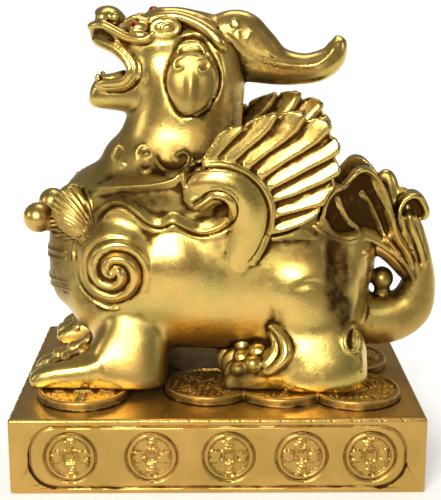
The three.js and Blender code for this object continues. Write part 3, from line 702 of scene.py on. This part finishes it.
skin.area([
    [-8, 85], [-5, 86.4], [-1.5, 88.4], [1.6, 89.8], [3.4, 88], [2.8, 85.6], [-1, 84], [-5, 83.4],
], -1.4, 2.0, 20, 52, 0.0)
for line, *work in (
    (offset(RIM, 1.7), 2.1, 1.5, 20, 52, 0.06), (RIM, 0.8, -1.1, 20, 52, 0.06),
    (offset(RIM, -1.4), 0.9, 0.5, 20, 52, 0.06), (BAND, 2.3, 1.7, 20, 52, 0.03, 0.0),
    (offset(BAND, -2.4), 0.9, -0.9, 20, 52, 0.04, 0.0), (offset(BAND, -3.7), 1.1, 0.5, 20, 52, 0.05, 0.0),
):
    skin.line(line, *work)
skin.line(PANEL_TOP, 1.2, 1.2, 15, 52, 0.06)
skin.write()

# Feathers: each face rises to a rounded ridge near its lower edge and drops to the next
RIDGE_PLACE, DROP_PLACE = 0.76, 0.8
RIDGE_SHARE, RIDGE_MOST = 0.27, 2.6
CREASE_WIDTH, CREASE_DEPTH = 0.55, 0.6
ROOT_GAP = 3

x, z = skin.points[:, 0], skin.points[:, 2]
rim_gap, _, rim_hand = distance_to_line(x, z, smooth_path(RIM, 100))
on_fan = (np.abs(skin.points[:, 1]) > 35 + fan_lean(z)) & (x < 63) & (z > 74) & (x > -8) & (rim_hand > 0)
on_fan &= (rim_gap > ROOT_GAP) & (np.abs(skin.normals[:, 1]) > 0.25)
chosen = np.flatnonzero(on_fan)
px, pz = x[chosen], z[chosen]
gaps, hands = [], []
for groove in FEATHER_GROOVES:
    line = np.array(groove)
    line = np.vstack([line[0] + 2 * (line[0] - line[1]), line, line[-1] + 4 * (line[-1] - line[-2])])
    gap, _, hand = distance_to_line(px, pz, line)
    gaps.append(gap)
    hands.append(hand < 0)
gaps, hands = np.array(gaps), np.array(hands)
feather = np.clip(hands.sum(axis=0), 1, len(FEATHER_GROOVES) - 1)
above = np.take_along_axis(gaps, (feather - 1)[None], 0)[0]
under = np.take_along_axis(gaps, feather[None], 0)[0]
across = above / (above + under + 1e-9)
rise = soft_step(across / RIDGE_PLACE) ** 1.3
face_rise = np.where(across < RIDGE_PLACE, rise, 1 - soft_step((across - DROP_PLACE) / 0.2) * 0.9)
from_root = soft_step((rim_gap[chosen] - ROOT_GAP) / ROOT_GAP)
tall = np.minimum(RIDGE_SHARE * (above + under), RIDGE_MOST) * from_root
crease = np.exp(-(np.minimum(above, under) / CREASE_WIDTH) ** 2)
skin.lift(chosen, tall * (face_rise - 0.5) - CREASE_DEPTH * crease * from_root)
skin.write()

# Shoulder scroll: two rounded ribs that wind in side by side, one turn for every two pitches
SCROLL_X, SCROLL_Z, SCROLL_RADIUS = -48.6, 58.4, 17.4
RIBS, RIB_PITCH, RIB_HEIGHT = 2, 7.0, 2.3

x, z = skin.points[:, 0] - SCROLL_X, skin.points[:, 2] - SCROLL_Z
r = np.hypot(x, z)
chosen = np.flatnonzero((r < SCROLL_RADIUS * 1.1) & skin.beside(20, 60, 0.1))
r = r[chosen]
turn = np.arctan2(z[chosen], x[chosen])
phase = (r - SCROLL_RADIUS + RIBS * RIB_PITCH * turn / (2 * np.pi)) / RIB_PITCH
rib = 0.5 + 0.5 * np.cos(2 * np.pi * phase)
rib = 1 - (1 - rib) ** 1.6
fade = soft_step((SCROLL_RADIUS * 1.06 - r) / (0.14 * SCROLL_RADIUS)) * soft_step(r / (0.5 * RIB_PITCH))
skin.lift(chosen, RIB_HEIGHT * fade * (rib - 0.45))

# Edge of the breast, the soft folds of the thigh and the ring at the hock
skin.line([
    [-70.5, 70], [-69.4, 62], [-68.9, 56.2], [-67.4, 50.3], [-64, 45], [-59.1, 41.4], [-51.9, 38.6],
    [-44.5, 39.6],
], 1.2, 1.4, 15, 60, 0.08, 0.0)
skin.line([[36, 49], [46.6, 53.6], [54, 52.6], [58, 48.6], [59, 38]], 3.6, -0.8, 30, 60, 0.35)
skin.line([[58, 76], [60, 66], [62, 56], [65, 46], [66, 36]], 7.0, -3.0, 20, 60, 0.25, 0.0)
skin.line([
    [65.2, 24.8], [66.2, 29], [68.8, 30.6], [71.2, 28.2], [71.4, 23.2], [69.6, 19.6], [66.6, 20.8],
    [65.2, 24.8],
], 1.7, 1.3, 25, 56, 0, -0.3)
skin.area([
    [66.6, 24.8], [67.4, 27.6], [69, 28.6], [70, 27], [70, 23.6], [69, 21.4], [67.4, 22],
], -1.2, 1.1, 25, 56, -0.3)
skin.line([[71.8, 21], [73.6, 15], [73.2, 8.6]], 1.8, 1.0, 25, 56, 0.2, -0.3)
skin.line([[48.7, 81.1], [54, 76.7], [60.7, 72.8], [66.8, 71.1], [72, 71.4]], 0.9, 0.9, 15, 45, 0.1)
skin.write()

# Collar: a running scroll round the foot of the neck
for curl in (
    [[-50.6, 108.2], [-51.2, 112.4], [-49.6, 116], [-46.6, 116.8], [-44.8, 114.6]],
    [[-47.6, 112.8], [-46.4, 109.6], [-43.6, 108.6]],
    [[-38.4, 110.8], [-38.6, 114.6], [-36.4, 117.6], [-32.6, 118.4]],
    [[-35.6, 112.4], [-33.6, 114.2], [-31.4, 113.2]],
    [[-37.4, 108], [-34.6, 106], [-31.6, 106.8], [-30, 109.2]],
):
    skin.line(curl, 1.5, 1.3, 6, 44, 0.35, 0.0)
skin.line([
    [-30.7, 117], [-28.6, 111.6], [-25.4, 107.7], [-21.4, 105.8], [-16.5, 106.5], [-12.8, 110.2],
    [-12.8, 113.7], [-15.5, 115.2], [-18.6, 113.3], [-17.9, 110.6],
], 1.4, 1.5, 12, 46, 0.2, 0.0)
skin.line([[-11.4, 114.4], [-9.5, 109], [-6.9, 109.8], [-4.4, 115]], 1.1, 1.0, 15, 46, 0.2, 0.0)
skin.write()

# Ear: a shallow cup with an arch under it, two small scrolls, and a leaf with a ridge and a crisp edge
skin.area([
    [-19, 162.4], [-17.4, 166], [-14, 168], [-9.8, 168.2], [-6, 166.6], [-3.4, 162.2], [-6.7, 163.4],
    [-11.5, 163.8], [-16.3, 163],
], -1.9, 0.9, 12, 42, 0.0)
skin.line([
    [-13.4, 161], [-15.4, 161.8], [-18, 160.6], [-19.4, 158], [-18.2, 155.8], [-15.6, 156.4],
    [-13.8, 158.4],
], 1.3, 1.0, 16, 42, 0.25)
skin.line([
    [-9.2, 159.6], [-7.4, 161.4], [-4.2, 160.8], [-2.2, 158], [-3.2, 155.4], [-6, 154.8], [-7.4, 156.6],
    [-5.8, 158.2],
], 1.3, 1.0, 16, 42, 0.25)
skin.line([[-11, 157], [-11, 148], [-11.4, 142], [-12.4, 134]], 4.4, 1.3, 20, 42, 0.3)
LOBE = [
    [-11, 171], [-15.2, 170], [-18.6, 167], [-20, 162.8], [-22.8, 157.9], [-24.3, 152], [-23.8, 145.6],
    [-21.1, 139.3], [-17.4, 133.8], [-12.5, 132.4], [-6.8, 134.4], [-1.1, 139.4], [2, 146], [2.4, 152.4],
    [0.7, 158], [-2.2, 162.6], [-3.4, 165], [-6.4, 169.2], [-11, 171],
]
skin.line(LOBE, 1.4, -1.5, 12, 42, 0, -0.2)
skin.line([
    [-20.6, 161.6], [-16.4, 164], [-11.2, 164.8], [-6, 164.2], [-1.8, 161.8],
], 0.9, -0.8, 12, 42, 0.1, -0.2)

# Lip, cheek, the ring round the eye and a half-size one in it, mane, horn, crest and nostril
skin.line([
    [-59.5, 169.6], [-50.8, 167], [-45.1, 162.9], [-41.4, 158.2], [-41, 153.2], [-43.9, 148.4],
    [-48.8, 146.3], [-60, 145.8],
], 0.9, -0.6, 4, 24, 0.1, 0.0)
skin.line([
    [-60, 143.2], [-52, 142.8], [-45, 143.6], [-39.8, 147], [-37, 152], [-37.2, 157.6], [-40, 162.4],
], 1.0, -0.9, 4, 30, 0.25, 0.0)
skin.line([[-37, 146.4], [-34, 150.6], [-33, 155]], 1.2, -0.6, 8, 30, 0.4)
EYE_RING = [
    [-31.3, 173.5], [-30.4, 177.2], [-25.5, 179.3], [-19.7, 178.1], [-17.5, 175.1], [-19.8, 171.7],
    [-25.6, 170.9], [-29.7, 171.9], [-31.3, 173.5],
]
skin.line(EYE_RING, 1.2, 0.9, 8, 26, 0, 0.0)
half_size = [[-22.8 + 0.5 * (x + 24.3), 175 + 0.5 * (z - 175.1)] for x, z in EYE_RING]
skin.line(half_size, 1.0, -0.7, 8, 26, 0, 0.0)
skin.line([
    [-17.5, 172.8], [-8.4, 172], [-1.6, 168.8], [2.2, 162], [4.4, 153], [4.4, 144], [2.6, 134],
], 3.4, 0.5, 6, 34, 0.2, 0.0)
skin.line([
    [3.4, 172], [8.7, 168.4], [15.4, 162.6], [27.9, 157.8], [40.3, 156], [50.6, 156.8], [56.6, 161.5],
    [59.6, 166.4],
], 2.4, 0.7, 1, 16, 0.06, 0.0)
skin.line([[6, 176.2], [8.4, 178.6], [10.8, 176.2], [8.4, 173.8], [6, 176.2]], 1.1, 0.5, 1, 16, 0)
skin.line([
    [16.8, 175.6], [17, 172.4], [15, 169.4], [12.2, 169.4], [11, 171.8], [12.6, 173.6],
], 1.1, 0.55, 1, 16, 0.2)
skin.area([
    [-63.2, 172.4], [-60.4, 173.8], [-56.4, 173.4], [-52.6, 171.2], [-50.6, 168.6], [-56, 169.2],
    [-62.4, 169.8],
], -2.0, 1.1, 2, 24, 0.0)
skin.write()

# Hair shells on the chest, combed from the foot of each
SHELL_FOOT_X, SHELL_FOOT_Z = -60.5, 71.0
HAIRS, HAIR_TWIST, HAIR_DEPTH = 52, 0.018, 0.85

x, z = skin.points[:, 0] - SHELL_FOOT_X, skin.points[:, 2] - SHELL_FOOT_Z
chosen = np.flatnonzero(
    (np.hypot(x + 10.5, z - 12) < 16) & (x < 1) & (z > -1) & skin.beside(19, 42, -0.6)
    & (skin.points[:, 0] > -83) & (skin.points[:, 2] < 97)
)
reach = np.hypot(x[chosen], z[chosen])
comb = 0.5 + 0.5 * np.cos((np.arctan2(z[chosen], -x[chosen]) + HAIR_TWIST * reach) * HAIRS)
inner_fade = soft_step((np.abs(skin.points[chosen, 1]) - 19) / 3)
skin.lift(chosen, -HAIR_DEPTH * comb**1.5 * soft_step(reach / 5) * inner_fade)

# Tail: scooped hollows with ribs in the leaf, and beads and grooves up the strand; the material browns the
# hollows with patina, stains and painted shade
skin.area([
    [56, 84], [58, 92], [62, 96], [68, 101], [73, 104], [78, 102.5], [82, 98], [84.6, 91], [86.6, 83],
    [88.4, 74], [86, 70], [81.5, 73.4], [76, 75.8], [68, 75], [61, 77],
], -3.6, 2.0, 6, 45, 0.0)
leaf_edge = LEAF[:11] + [[92.1, 75.9], [95.2, 68.9], [100, 61.4], [104, 52]]
skin.line(offset(leaf_edge, -1.5), 1.7, 1.5, 4, 45, 0.05, 0.0)
skin.line([
    [72.6, 95], [77.1, 89.6], [80, 83.9], [83.1, 77.5], [85.5, 71.7], [89.7, 65.9], [95, 59],
], 1.7, 2.2, 4, 40, 0.12, 0.0)
skin.line([[60.4, 93.5], [64.7, 84.1], [67, 80.7], [70.5, 77.3], [74, 73.8]], 1.8, 1.8, 8, 45, 0.15, 0.0)
skin.line([
    [74, 72.4], [80.9, 68.8], [86.7, 64.8], [92.5, 60.2], [98, 54.5], [103, 46],
], 1.4, 1.3, 3, 30, 0.1, 0.0)
skin.line([
    [95, 86], [93.9, 79.7], [95, 73.9], [97.6, 68], [101, 62], [103.6, 56.9], [105, 48],
], 1.4, 1.4, 2, 20, 0.1, 0.0)
for strand_line, width, height in (
    ([[98.6, 85], [100, 77.4], [102.6, 71.6], [105.4, 65.7], [107.4, 59.9], [108.6, 52]], 1.0, 1.0),
    ([[96.9, 85], [97, 79], [98.6, 73], [101.4, 67], [104.2, 60], [106, 53]], 1.2, -1.2),
    ([[101.6, 83], [103, 76], [105.6, 69], [108.2, 62], [109.8, 55]], 1.1, -1.1),
):
    skin.line(strand_line, width, height, 1, 20, 0.1)
skin.write()

# Breast plates: two pairs of fine raised bands across the front
PLATE_LEVELS = (59.6, 63.4, 43.6, 47.8)
PLATE_WIDTH, PLATE_BOW = 1.3, 0.0012

for plate_level in PLATE_LEVELS:
    x, y, z = skin.points.T
    front = (x < -62) & (np.abs(y) < 31) & (skin.normals[:, 0] < -0.2)
    d = np.abs(z - plate_level - PLATE_BOW * y**2)
    chosen = np.flatnonzero(front & (d < PLATE_WIDTH))
    skin.lift(chosen, 0.5 + 0.5 * np.cos(np.pi * d[chosen] / PLATE_WIDTH))
skin.write()

apply_modifier(figure, "SMOOTH", factor=0.5, iterations=1)
thin_out(figure, 190000)

# Brown patches in the side view, partly skin that the polishing wheel missed and partly painted shade on
# shaded places and over highlights: x, z, half length, half height, share
STAINS_AND_SHADE = [
    [61, 56, 7.5, 24, 1.3], [65, 38, 5, 10, 1.2], [58, 74, 8, 7, 0.9], [14, 5, 9, 9, 0.95],
    [-46, 131, 7, 9, 0.6], [-40, 102, 24, 5, 0.6], [9, 144, 4, 24, 0.5], [-58, 82, 9, 11, 0.9],
    [-36, 94, 25, 8, 1.0], [44, 70, 8, 8, 0.4], [-8, 6, 30, 14, 0.7], [-64, 44, 9, 10, 0.7],
    [-22, 113, 22, 9, 0.75], [52, 46, 6, 5, 0.3], [99, 38, 16, 22, 0.7], [41, 69, 17, 9, 0.75],
    [0, 85, 7, 4, 0.8], [-46, 26, 9, 9, 0.35], [-10, 152, 13, 19, 0.5], [-57, 171, 6, 3, 0.8],
    [-30, 34, 18, 5, 0.35], [78, 84, 12, 14, 0.7], [-80, 60, 13, 26, 0.8], [-52, 104, 14, 12, 0.4],
    [-20, 80, 26, 3, 0.3],
]
skin = Skin(figure)
x, z = skin.points[:, 0], skin.points[:, 2]
stain_and_shade = np.zeros(skin.count)
# One share per point for these brown patches, which are partly stains and partly painted shade.
for cx, cz, rx, rz, share in STAINS_AND_SHADE:
    stain_and_shade = np.maximum(stain_and_shade, share * np.exp(-((((x - cx) / rx) ** 2 + ((z - cz) / rz) ** 2) ** 1.5)))
place = Matrix.Translation(Vector((0, FIGURE_BACK, SOLE)) * MM)
stand = place @ Matrix.Rotation(FIGURE_TURN, 4, "Z") @ Matrix.Scale(MM, 4)
figure.data.transform(stand)
figure.data.update()
select(figure)
bpy.ops.object.shade_smooth()
figure.name = "beast"


def neighbour_mean(values, edges, count):
    """The mean of each vertex's neighbours."""
    ends = np.concatenate([edges[:, 0], edges[:, 1]])
    others = np.concatenate([edges[:, 1], edges[:, 0]])
    weight = np.maximum(np.bincount(ends, minlength=count), 1)
    if values.ndim == 1:
        return np.bincount(ends, values[others], count) / weight
    return np.stack([np.bincount(ends, values[others, k], count) / weight for k in range(values.shape[1])], 1)


def keep(piece, name, values):
    """Stores a share per point for the material."""
    layer = piece.data.attributes.new(name, "FLOAT", "POINT")
    layer.data.foreach_set("value", np.clip(values, 0, 1).astype(np.float32))


def mark_recesses(piece, groove_depth, reach):
    """Stores how deep each point lies in a groove, for patina, and how shut in it is, for painted shade: 1 at
    the foot of a groove or in a shut-in hollow.
    """
    form = Skin(piece)
    points, normals, count = form.points, form.normals, form.count
    edges = read(piece.data.edges, "vertices", 2, int)
    soft = points
    for _ in range(10):
        soft = neighbour_mean(soft, edges, count)
    sunk = np.einsum("ij,ij->i", soft - points, normals) / groove_depth
    # Share of rays that hit the skin nearby: the material paints this as shade in hollows, undersides and
    # between parts.
    tree = BVHTree.FromPolygons(points.tolist(), [p.vertices[:] for p in piece.data.polygons])
    generator = np.random.default_rng(7)
    ray_occlusion = np.zeros(count)
    rays, spread = 8, 0.85
    origin = points + normals * (0.3 * MM)
    for _ in range(rays):
        way = generator.normal(size=3)
        way /= np.linalg.norm(way)
        aim = normals + spread * way
        aim /= np.linalg.norm(aim, axis=1, keepdims=True)
        for i in range(count):
            if tree.ray_cast(origin[i], aim[i], reach)[0] is not None:
                ray_occlusion[i] += 1
    ray_occlusion /= rays
    for _ in range(3):
        ray_occlusion = 0.5 * ray_occlusion + 0.5 * neighbour_mean(ray_occlusion, edges, count)
    sunk = 0.5 * sunk + 0.5 * neighbour_mean(sunk, edges, count)
    keep(piece, "groove", sunk)
    keep(piece, "occlusion_shade", ray_occlusion)


mark_recesses(figure, groove_depth=0.45 * MM, reach=45 * MM)
keep(figure, "stain_and_shade", stain_and_shade)


def cast_brass(name, colours, roughness, bump_height, paint_dots=()):
    """Polished cast brass: warm yellow metal, brown patina in grooves where the wheel never reached, painted
    shade in shut-in hollows, and brown patches that are partly stains and partly painted shade.
    """
    material = bpy.data.materials.new(name)
    material.use_nodes = True
    tree = material.node_tree
    shader = tree.nodes["Principled BSDF"]
    shader.inputs["Metallic"].default_value = 1.0
    place = add_node(tree, "ShaderNodeTexCoord").outputs["Object"]
    groove, occlusion_shade, stain_and_shade = (
        add_node(tree, "ShaderNodeAttribute", attribute_name=share).outputs["Fac"]
        for share in ("groove", "occlusion_shade", "stain_and_shade")
    )
    patch = add_node(tree, "ShaderNodeTexNoise", {"Vector": place}, Scale=1 / (22 * MM), Detail=3.0)
    cloud = add_node(
        tree, "ShaderNodeTexNoise", {"Vector": place}, Scale=1 / (5 * MM), Detail=4.0, Roughness=0.6,
    )
    speck = add_node(tree, "ShaderNodeTexNoise", {"Vector": place}, Scale=1 / (1.2 * MM), Detail=3.0)
    patch_share = add_node(
        tree, "ShaderNodeMapRange", {"Value": patch.outputs["Fac"]}, From_Min=0.38, From_Max=0.64,
    )
    metal = add_node(
        tree, "ShaderNodeMix", {"Factor": patch_share.outputs["Result"]}, data_type="RGBA",
        A=linear(colours["bright"]), B=linear(colours["green"]),
    )
    # Brown patina where grooves lie, and painted shade where rays found the skin shut in.
    hollow = add_node(tree, "ShaderNodeMath", {0: groove, 1: occlusion_shade}, operation="MAXIMUM")
    edge = add_node(
        tree, "ShaderNodeMapRange", {"Value": cloud.outputs["Fac"]}, From_Min=0.3, From_Max=0.7,
        To_Min=-0.18, To_Max=0.18,
    )
    uneven = add_node(
        tree, "ShaderNodeMath", {0: hollow.outputs[0], 1: edge.outputs["Result"]}, operation="ADD",
    )
    patina_and_shade_share = add_node(
        tree, "ShaderNodeMapRange", {"Value": uneven.outputs[0]}, interpolation_type="SMOOTHSTEP",
        From_Min=0.22, From_Max=0.95,
    )
    warm = add_node(
        tree, "ShaderNodeMix", {"Factor": patina_and_shade_share.outputs["Result"], "A": metal.outputs["Result"]},
        data_type="RGBA", B=linear(colours["brown"]),
    )
    blotch = add_node(
        tree, "ShaderNodeMapRange", {"Value": cloud.outputs["Fac"]}, From_Min=0.3, From_Max=0.7,
        To_Min=0.75, To_Max=1.1,
    )
    # Brown patches, partly stains and partly painted shade.
    wash = add_node(
        tree, "ShaderNodeMath", {0: stain_and_shade, 1: blotch.outputs["Result"]}, operation="MULTIPLY",
        use_clamp=True,
    )
    washed = add_node(
        tree, "ShaderNodeMix", {"Factor": wash.outputs[0], "A": warm.outputs["Result"]}, data_type="RGBA",
        B=linear(colours["umber"]),
    )
    last = washed.outputs["Result"]
    for dot, radius in paint_dots:
        gap = add_node(tree, "ShaderNodeVectorMath", {0: place}, operation="DISTANCE")
        gap.inputs[1].default_value = dot
        inside = add_node(
            tree, "ShaderNodeMapRange", {"Value": gap.outputs["Value"]}, From_Min=radius,
            From_Max=radius * 0.8,
        )
        red = add_node(
            tree, "ShaderNodeMix", {"Factor": inside.outputs["Result"], "A": last}, data_type="RGBA",
            B=linear("#E01818"),
        )
        last = red.outputs["Result"]
    tree.links.new(last, shader.inputs["Base Color"])
    dulled = add_node(
        tree, "ShaderNodeMath", {0: uneven.outputs[0], 1: wash.outputs[0]}, operation="MAXIMUM",
    )
    rough = add_node(
        tree, "ShaderNodeMapRange", {"Value": dulled.outputs[0]}, From_Min=0.0, From_Max=0.9,
        To_Min=roughness, To_Max=roughness + 0.3,
    )
    tree.links.new(rough.outputs["Result"], shader.inputs["Roughness"])
    relief = add_node(
        tree, "ShaderNodeMath", {0: speck.outputs["Fac"], 2: cloud.outputs["Fac"]},
        operation="MULTIPLY_ADD",
    )
    relief.inputs[1].default_value = 0.4
    bump = add_node(
        tree, "ShaderNodeBump", {"Height": relief.outputs[0]}, Strength=1.0, Distance=bump_height,
    )
    tree.links.new(bump.outputs["Normal"], shader.inputs["Normal"])
    return material


# Red paint dots: one over each eye and one on the crest
dots = [((-41.4, 16 * s, 177.6), 1.5 * MM) for s in SIDES] + [((-31.8, 0, 184), 3 * MM)]
dots = [(figure.closest_point_on_mesh(stand @ Vector(spot))[1], radius) for spot, radius in dots]
polished = cast_brass(
    "polished_cast_brass", {"bright": "#DDB766", "green": "#C9B262", "brown": "#432A0E", "umber": "#453114"},
    roughness=0.26, bump_height=0.1 * MM, paint_dots=dots,
)
figure.data.materials.clear()
figure.data.materials.append(polished)
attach(figure, "root")
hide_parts("pixiu")


# Plinth: a hollow cast block, filed flat, with a band of coin roundels cast into its front.
# Coins in higher relief lie about its top under the paws. It is duller than the figure.

PLINTH = Vector((200.0, 150.0, 38.0))
COIN_RADIUS = 22.4
COIN_THICKNESS = 4.5
COIN_SPOTS = [(-67, -42), (-4, -35), (32, -38), (69, -42), (69, 6), (-62, 52), (44, 50)]
ROUNDEL_RADIUS = 13.0
ROUNDEL_PITCH = 35.9
ROUNDEL_SHIFT = 5.2
ROUNDEL_DRIFT = -1.0
ROUNDELS = 5
PANEL_HEIGHT = PLINTH.z - 7.0
PANEL_END = 10.0
PANEL_CORNER = 13.0
FRONT_GROOVE = 0.85
PLAIN_GROOVE = 0.7
FACE_DEPTH = 0.6

bpy.ops.object.select_all(action="DESELECT")
bpy.ops.mesh.primitive_cube_add(size=1, location=(0, 0, PLINTH.z / 2))
block = bpy.context.object
block.scale = PLINTH
bpy.ops.object.transform_apply()
apply_modifier(block, "BEVEL", width=1.2, segments=3)
pieces = [block]
for x, y in COIN_SPOTS:
    bpy.ops.mesh.primitive_cylinder_add(
        vertices=72, radius=COIN_RADIUS, depth=COIN_THICKNESS + 1,
        location=(x, y, PLINTH.z + COIN_THICKNESS / 2 - 0.5),
    )
    coin = bpy.context.object
    apply_modifier(coin, "BEVEL", width=0.9, segments=3, limit_method="ANGLE")
    pieces.append(coin)
plinth = fuse(pieces, 0.5, 1, "plinth_block")
ground = Skin(plinth)


def coin_face(u, v, radius, rim, sink, window, seed):
    """Height of a coin's face at u, v from its middle: a square window among rows of strokes."""
    generator = np.random.default_rng(seed)
    r = np.hypot(u, v)
    field = soft_step((radius - rim - r) / 0.5 + 0.5)
    square = np.maximum(np.abs(u), np.abs(v))
    raised = soft_step(1 - np.abs(square - window / 2) / 0.9)
    room_out = radius - rim - window / 2
    for k in range(4):
        c, s = math.cos(k * math.pi / 2), math.sin(k * math.pi / 2)
        a = u * c + v * s - window / 2 - room_out / 2
        b = -u * s + v * c
        along, level = (b, a) if k % 2 else (a, b)
        for row in (-1.5, -0.5, 0.5, 1.5):
            shift, half = generator.uniform(-0.8, 0.8), generator.uniform(0.8, 0.32 * room_out)
            bar = np.maximum(np.abs(level - 0.21 * room_out * row) / 0.55, np.abs(along - shift) / half)
            raised = np.maximum(raised, 0.85 * soft_step(1.7 - bar))
        for post in generator.uniform(-0.25, 0.25, 2) * room_out:
            low = generator.uniform(-0.3, 0.3) * room_out
            bar = np.maximum(np.abs(along - post) / 0.5, np.abs(level - low) / 1.2)
            raised = np.maximum(raised, 0.8 * soft_step(1.7 - bar))
    stipple = 0.5 + 0.25 * (np.sin(u * 4.1 + 1.7 * np.sin(v * 2.3)) + np.sin(v * 3.7 + 1.9 * np.sin(u * 2.9)))
    return -sink * field * (1 - 0.95 * raised) + 0.4 * sink * field * stipple * (1 - raised)


def panel_groove(u, v, length, height, depth):
    """A groove, 1.2 mm wide, along the outline of a long panel with rounded corners."""
    over_u = np.abs(u) - (length / 2 - PANEL_CORNER)
    over_v = np.abs(v) - (height / 2 - PANEL_CORNER)
    gap = np.hypot(np.maximum(over_u, 0), np.maximum(over_v, 0)) + np.minimum(np.maximum(over_u, over_v), 0)
    return -depth * soft_step(1.5 - np.abs(gap - PANEL_CORNER) / 0.6)


x, y, z = ground.points.T
height = np.zeros(ground.count)
front = (ground.normals[:, 1] < -0.9) & (y < -PLINTH.y / 2 + FACE_DEPTH)
u, v = x[front], z[front] - PLINTH.z / 2
wave = 0.25 * np.sin(u / 9.0) + 0.2 * np.sin(u / 3.7 + 1.0)
relief = panel_groove(u, v + 0.3 * wave, PLINTH.x - 2 * PANEL_END, PANEL_HEIGHT, FRONT_GROOVE)
for index in range(ROUNDELS):
    step = index - (ROUNDELS - 1) / 2
    centre = ROUNDEL_SHIFT + ROUNDEL_PITCH * step + ROUNDEL_DRIFT * step**2
    du, dv = u - centre, v
    r = np.hypot(du, dv)
    relief -= 0.95 * soft_step(1.5 - np.abs(r - ROUNDEL_RADIUS + 0.7) / 0.6)
    relief += coin_face(du, dv, ROUNDEL_RADIUS - 1.5, rim=1.6, sink=1.3, window=5.2, seed=index)
height[front] = relief
back = (ground.normals[:, 1] > 0.9) & (y > PLINTH.y / 2 - FACE_DEPTH)
ends = (np.abs(ground.normals[:, 0]) > 0.9) & (np.abs(x) > PLINTH.x / 2 - FACE_DEPTH)
for face, along, length in ((back, x, PLINTH.x), (ends, y, PLINTH.y)):
    height[face] = panel_groove(
        along[face], z[face] - PLINTH.z / 2, length - 2 * PANEL_END, PANEL_HEIGHT, PLAIN_GROOVE,
    )
top = (ground.normals[:, 2] > 0.9) & (z > PLINTH.z + COIN_THICKNESS - FACE_DEPTH)
nearest = np.full(top.sum(), 1e9)
face_height = np.zeros(top.sum())
for index, (cx, cy) in enumerate(COIN_SPOTS):
    turn = 0.7 * index
    du, dv = x[top] - cx, y[top] - cy
    r = np.hypot(du, dv)
    u, v = du * math.cos(turn) + dv * math.sin(turn), -du * math.sin(turn) + dv * math.cos(turn)
    this = coin_face(u, v, COIN_RADIUS, rim=2.2, sink=1.6, window=8.5, seed=20 + index)
    face_height = np.where(r < nearest, this, face_height)
    nearest = np.minimum(nearest, r)
height[top] = face_height

# Nicks along the top edges: the left one is ragged, the front one worn
NICK_WAVES = ((0.55, 0.3), (1.3, 1.7), (2.6, 4.1))
NICK_DEPTH = 0.5
FRONT_SHARE = 0.16

nick = sum(np.sin((x + y) * pitch + start) for pitch, start in NICK_WAVES)
left_edge = soft_step((4 - x - PLINTH.x / 2) / 3)
front_edge = soft_step((2.4 - y - PLINTH.y / 2) / 1.8)
upper = soft_step((z - PLINTH.z + 4.5) / 3.5)
height -= NICK_DEPTH * upper * np.maximum(left_edge, FRONT_SHARE * front_edge) * np.maximum(nick, 0)
ground.lift(np.arange(ground.count), height)
ground.write()
thin_out(plinth, 180000)
plinth.data.transform(Matrix.Scale(MM, 4))
plinth.data.update()
select(plinth)
bpy.ops.object.shade_smooth_by_angle(angle=math.radians(50))
apply_modifier(plinth, "WEIGHTED_NORMAL", weight=80, keep_sharp=True)
mark_recesses(plinth, groove_depth=0.58 * MM, reach=25 * MM)

# Painted shade on the top under the beast, and a little brown on the roundels' ground
x, y, z = Skin(plinth).points.T
# Painted shade on the plinth top under the beast.
shade_under_beast = 0.6 * np.exp(-((x / 0.078) ** 2 + ((y - 0.004) / 0.05) ** 2) ** 2) * (z > 0.03)
roundel_field = (y < -0.0735) & (np.abs(z - 0.019) < 0.0125)
keep(plinth, "stain_and_shade", np.maximum(shade_under_beast, 0.12 * roundel_field))
plinth.name = "block"
satin = cast_brass(
    "satin_cast_brass", {"bright": "#CBA35A", "green": "#BB9A50", "brown": "#3C260D", "umber": "#5A3F1A"},
    roughness=0.34, bump_height=0.12 * MM,
)
plinth.data.materials.clear()
plinth.data.materials.append(satin)
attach(plinth, "root")
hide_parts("plinth")
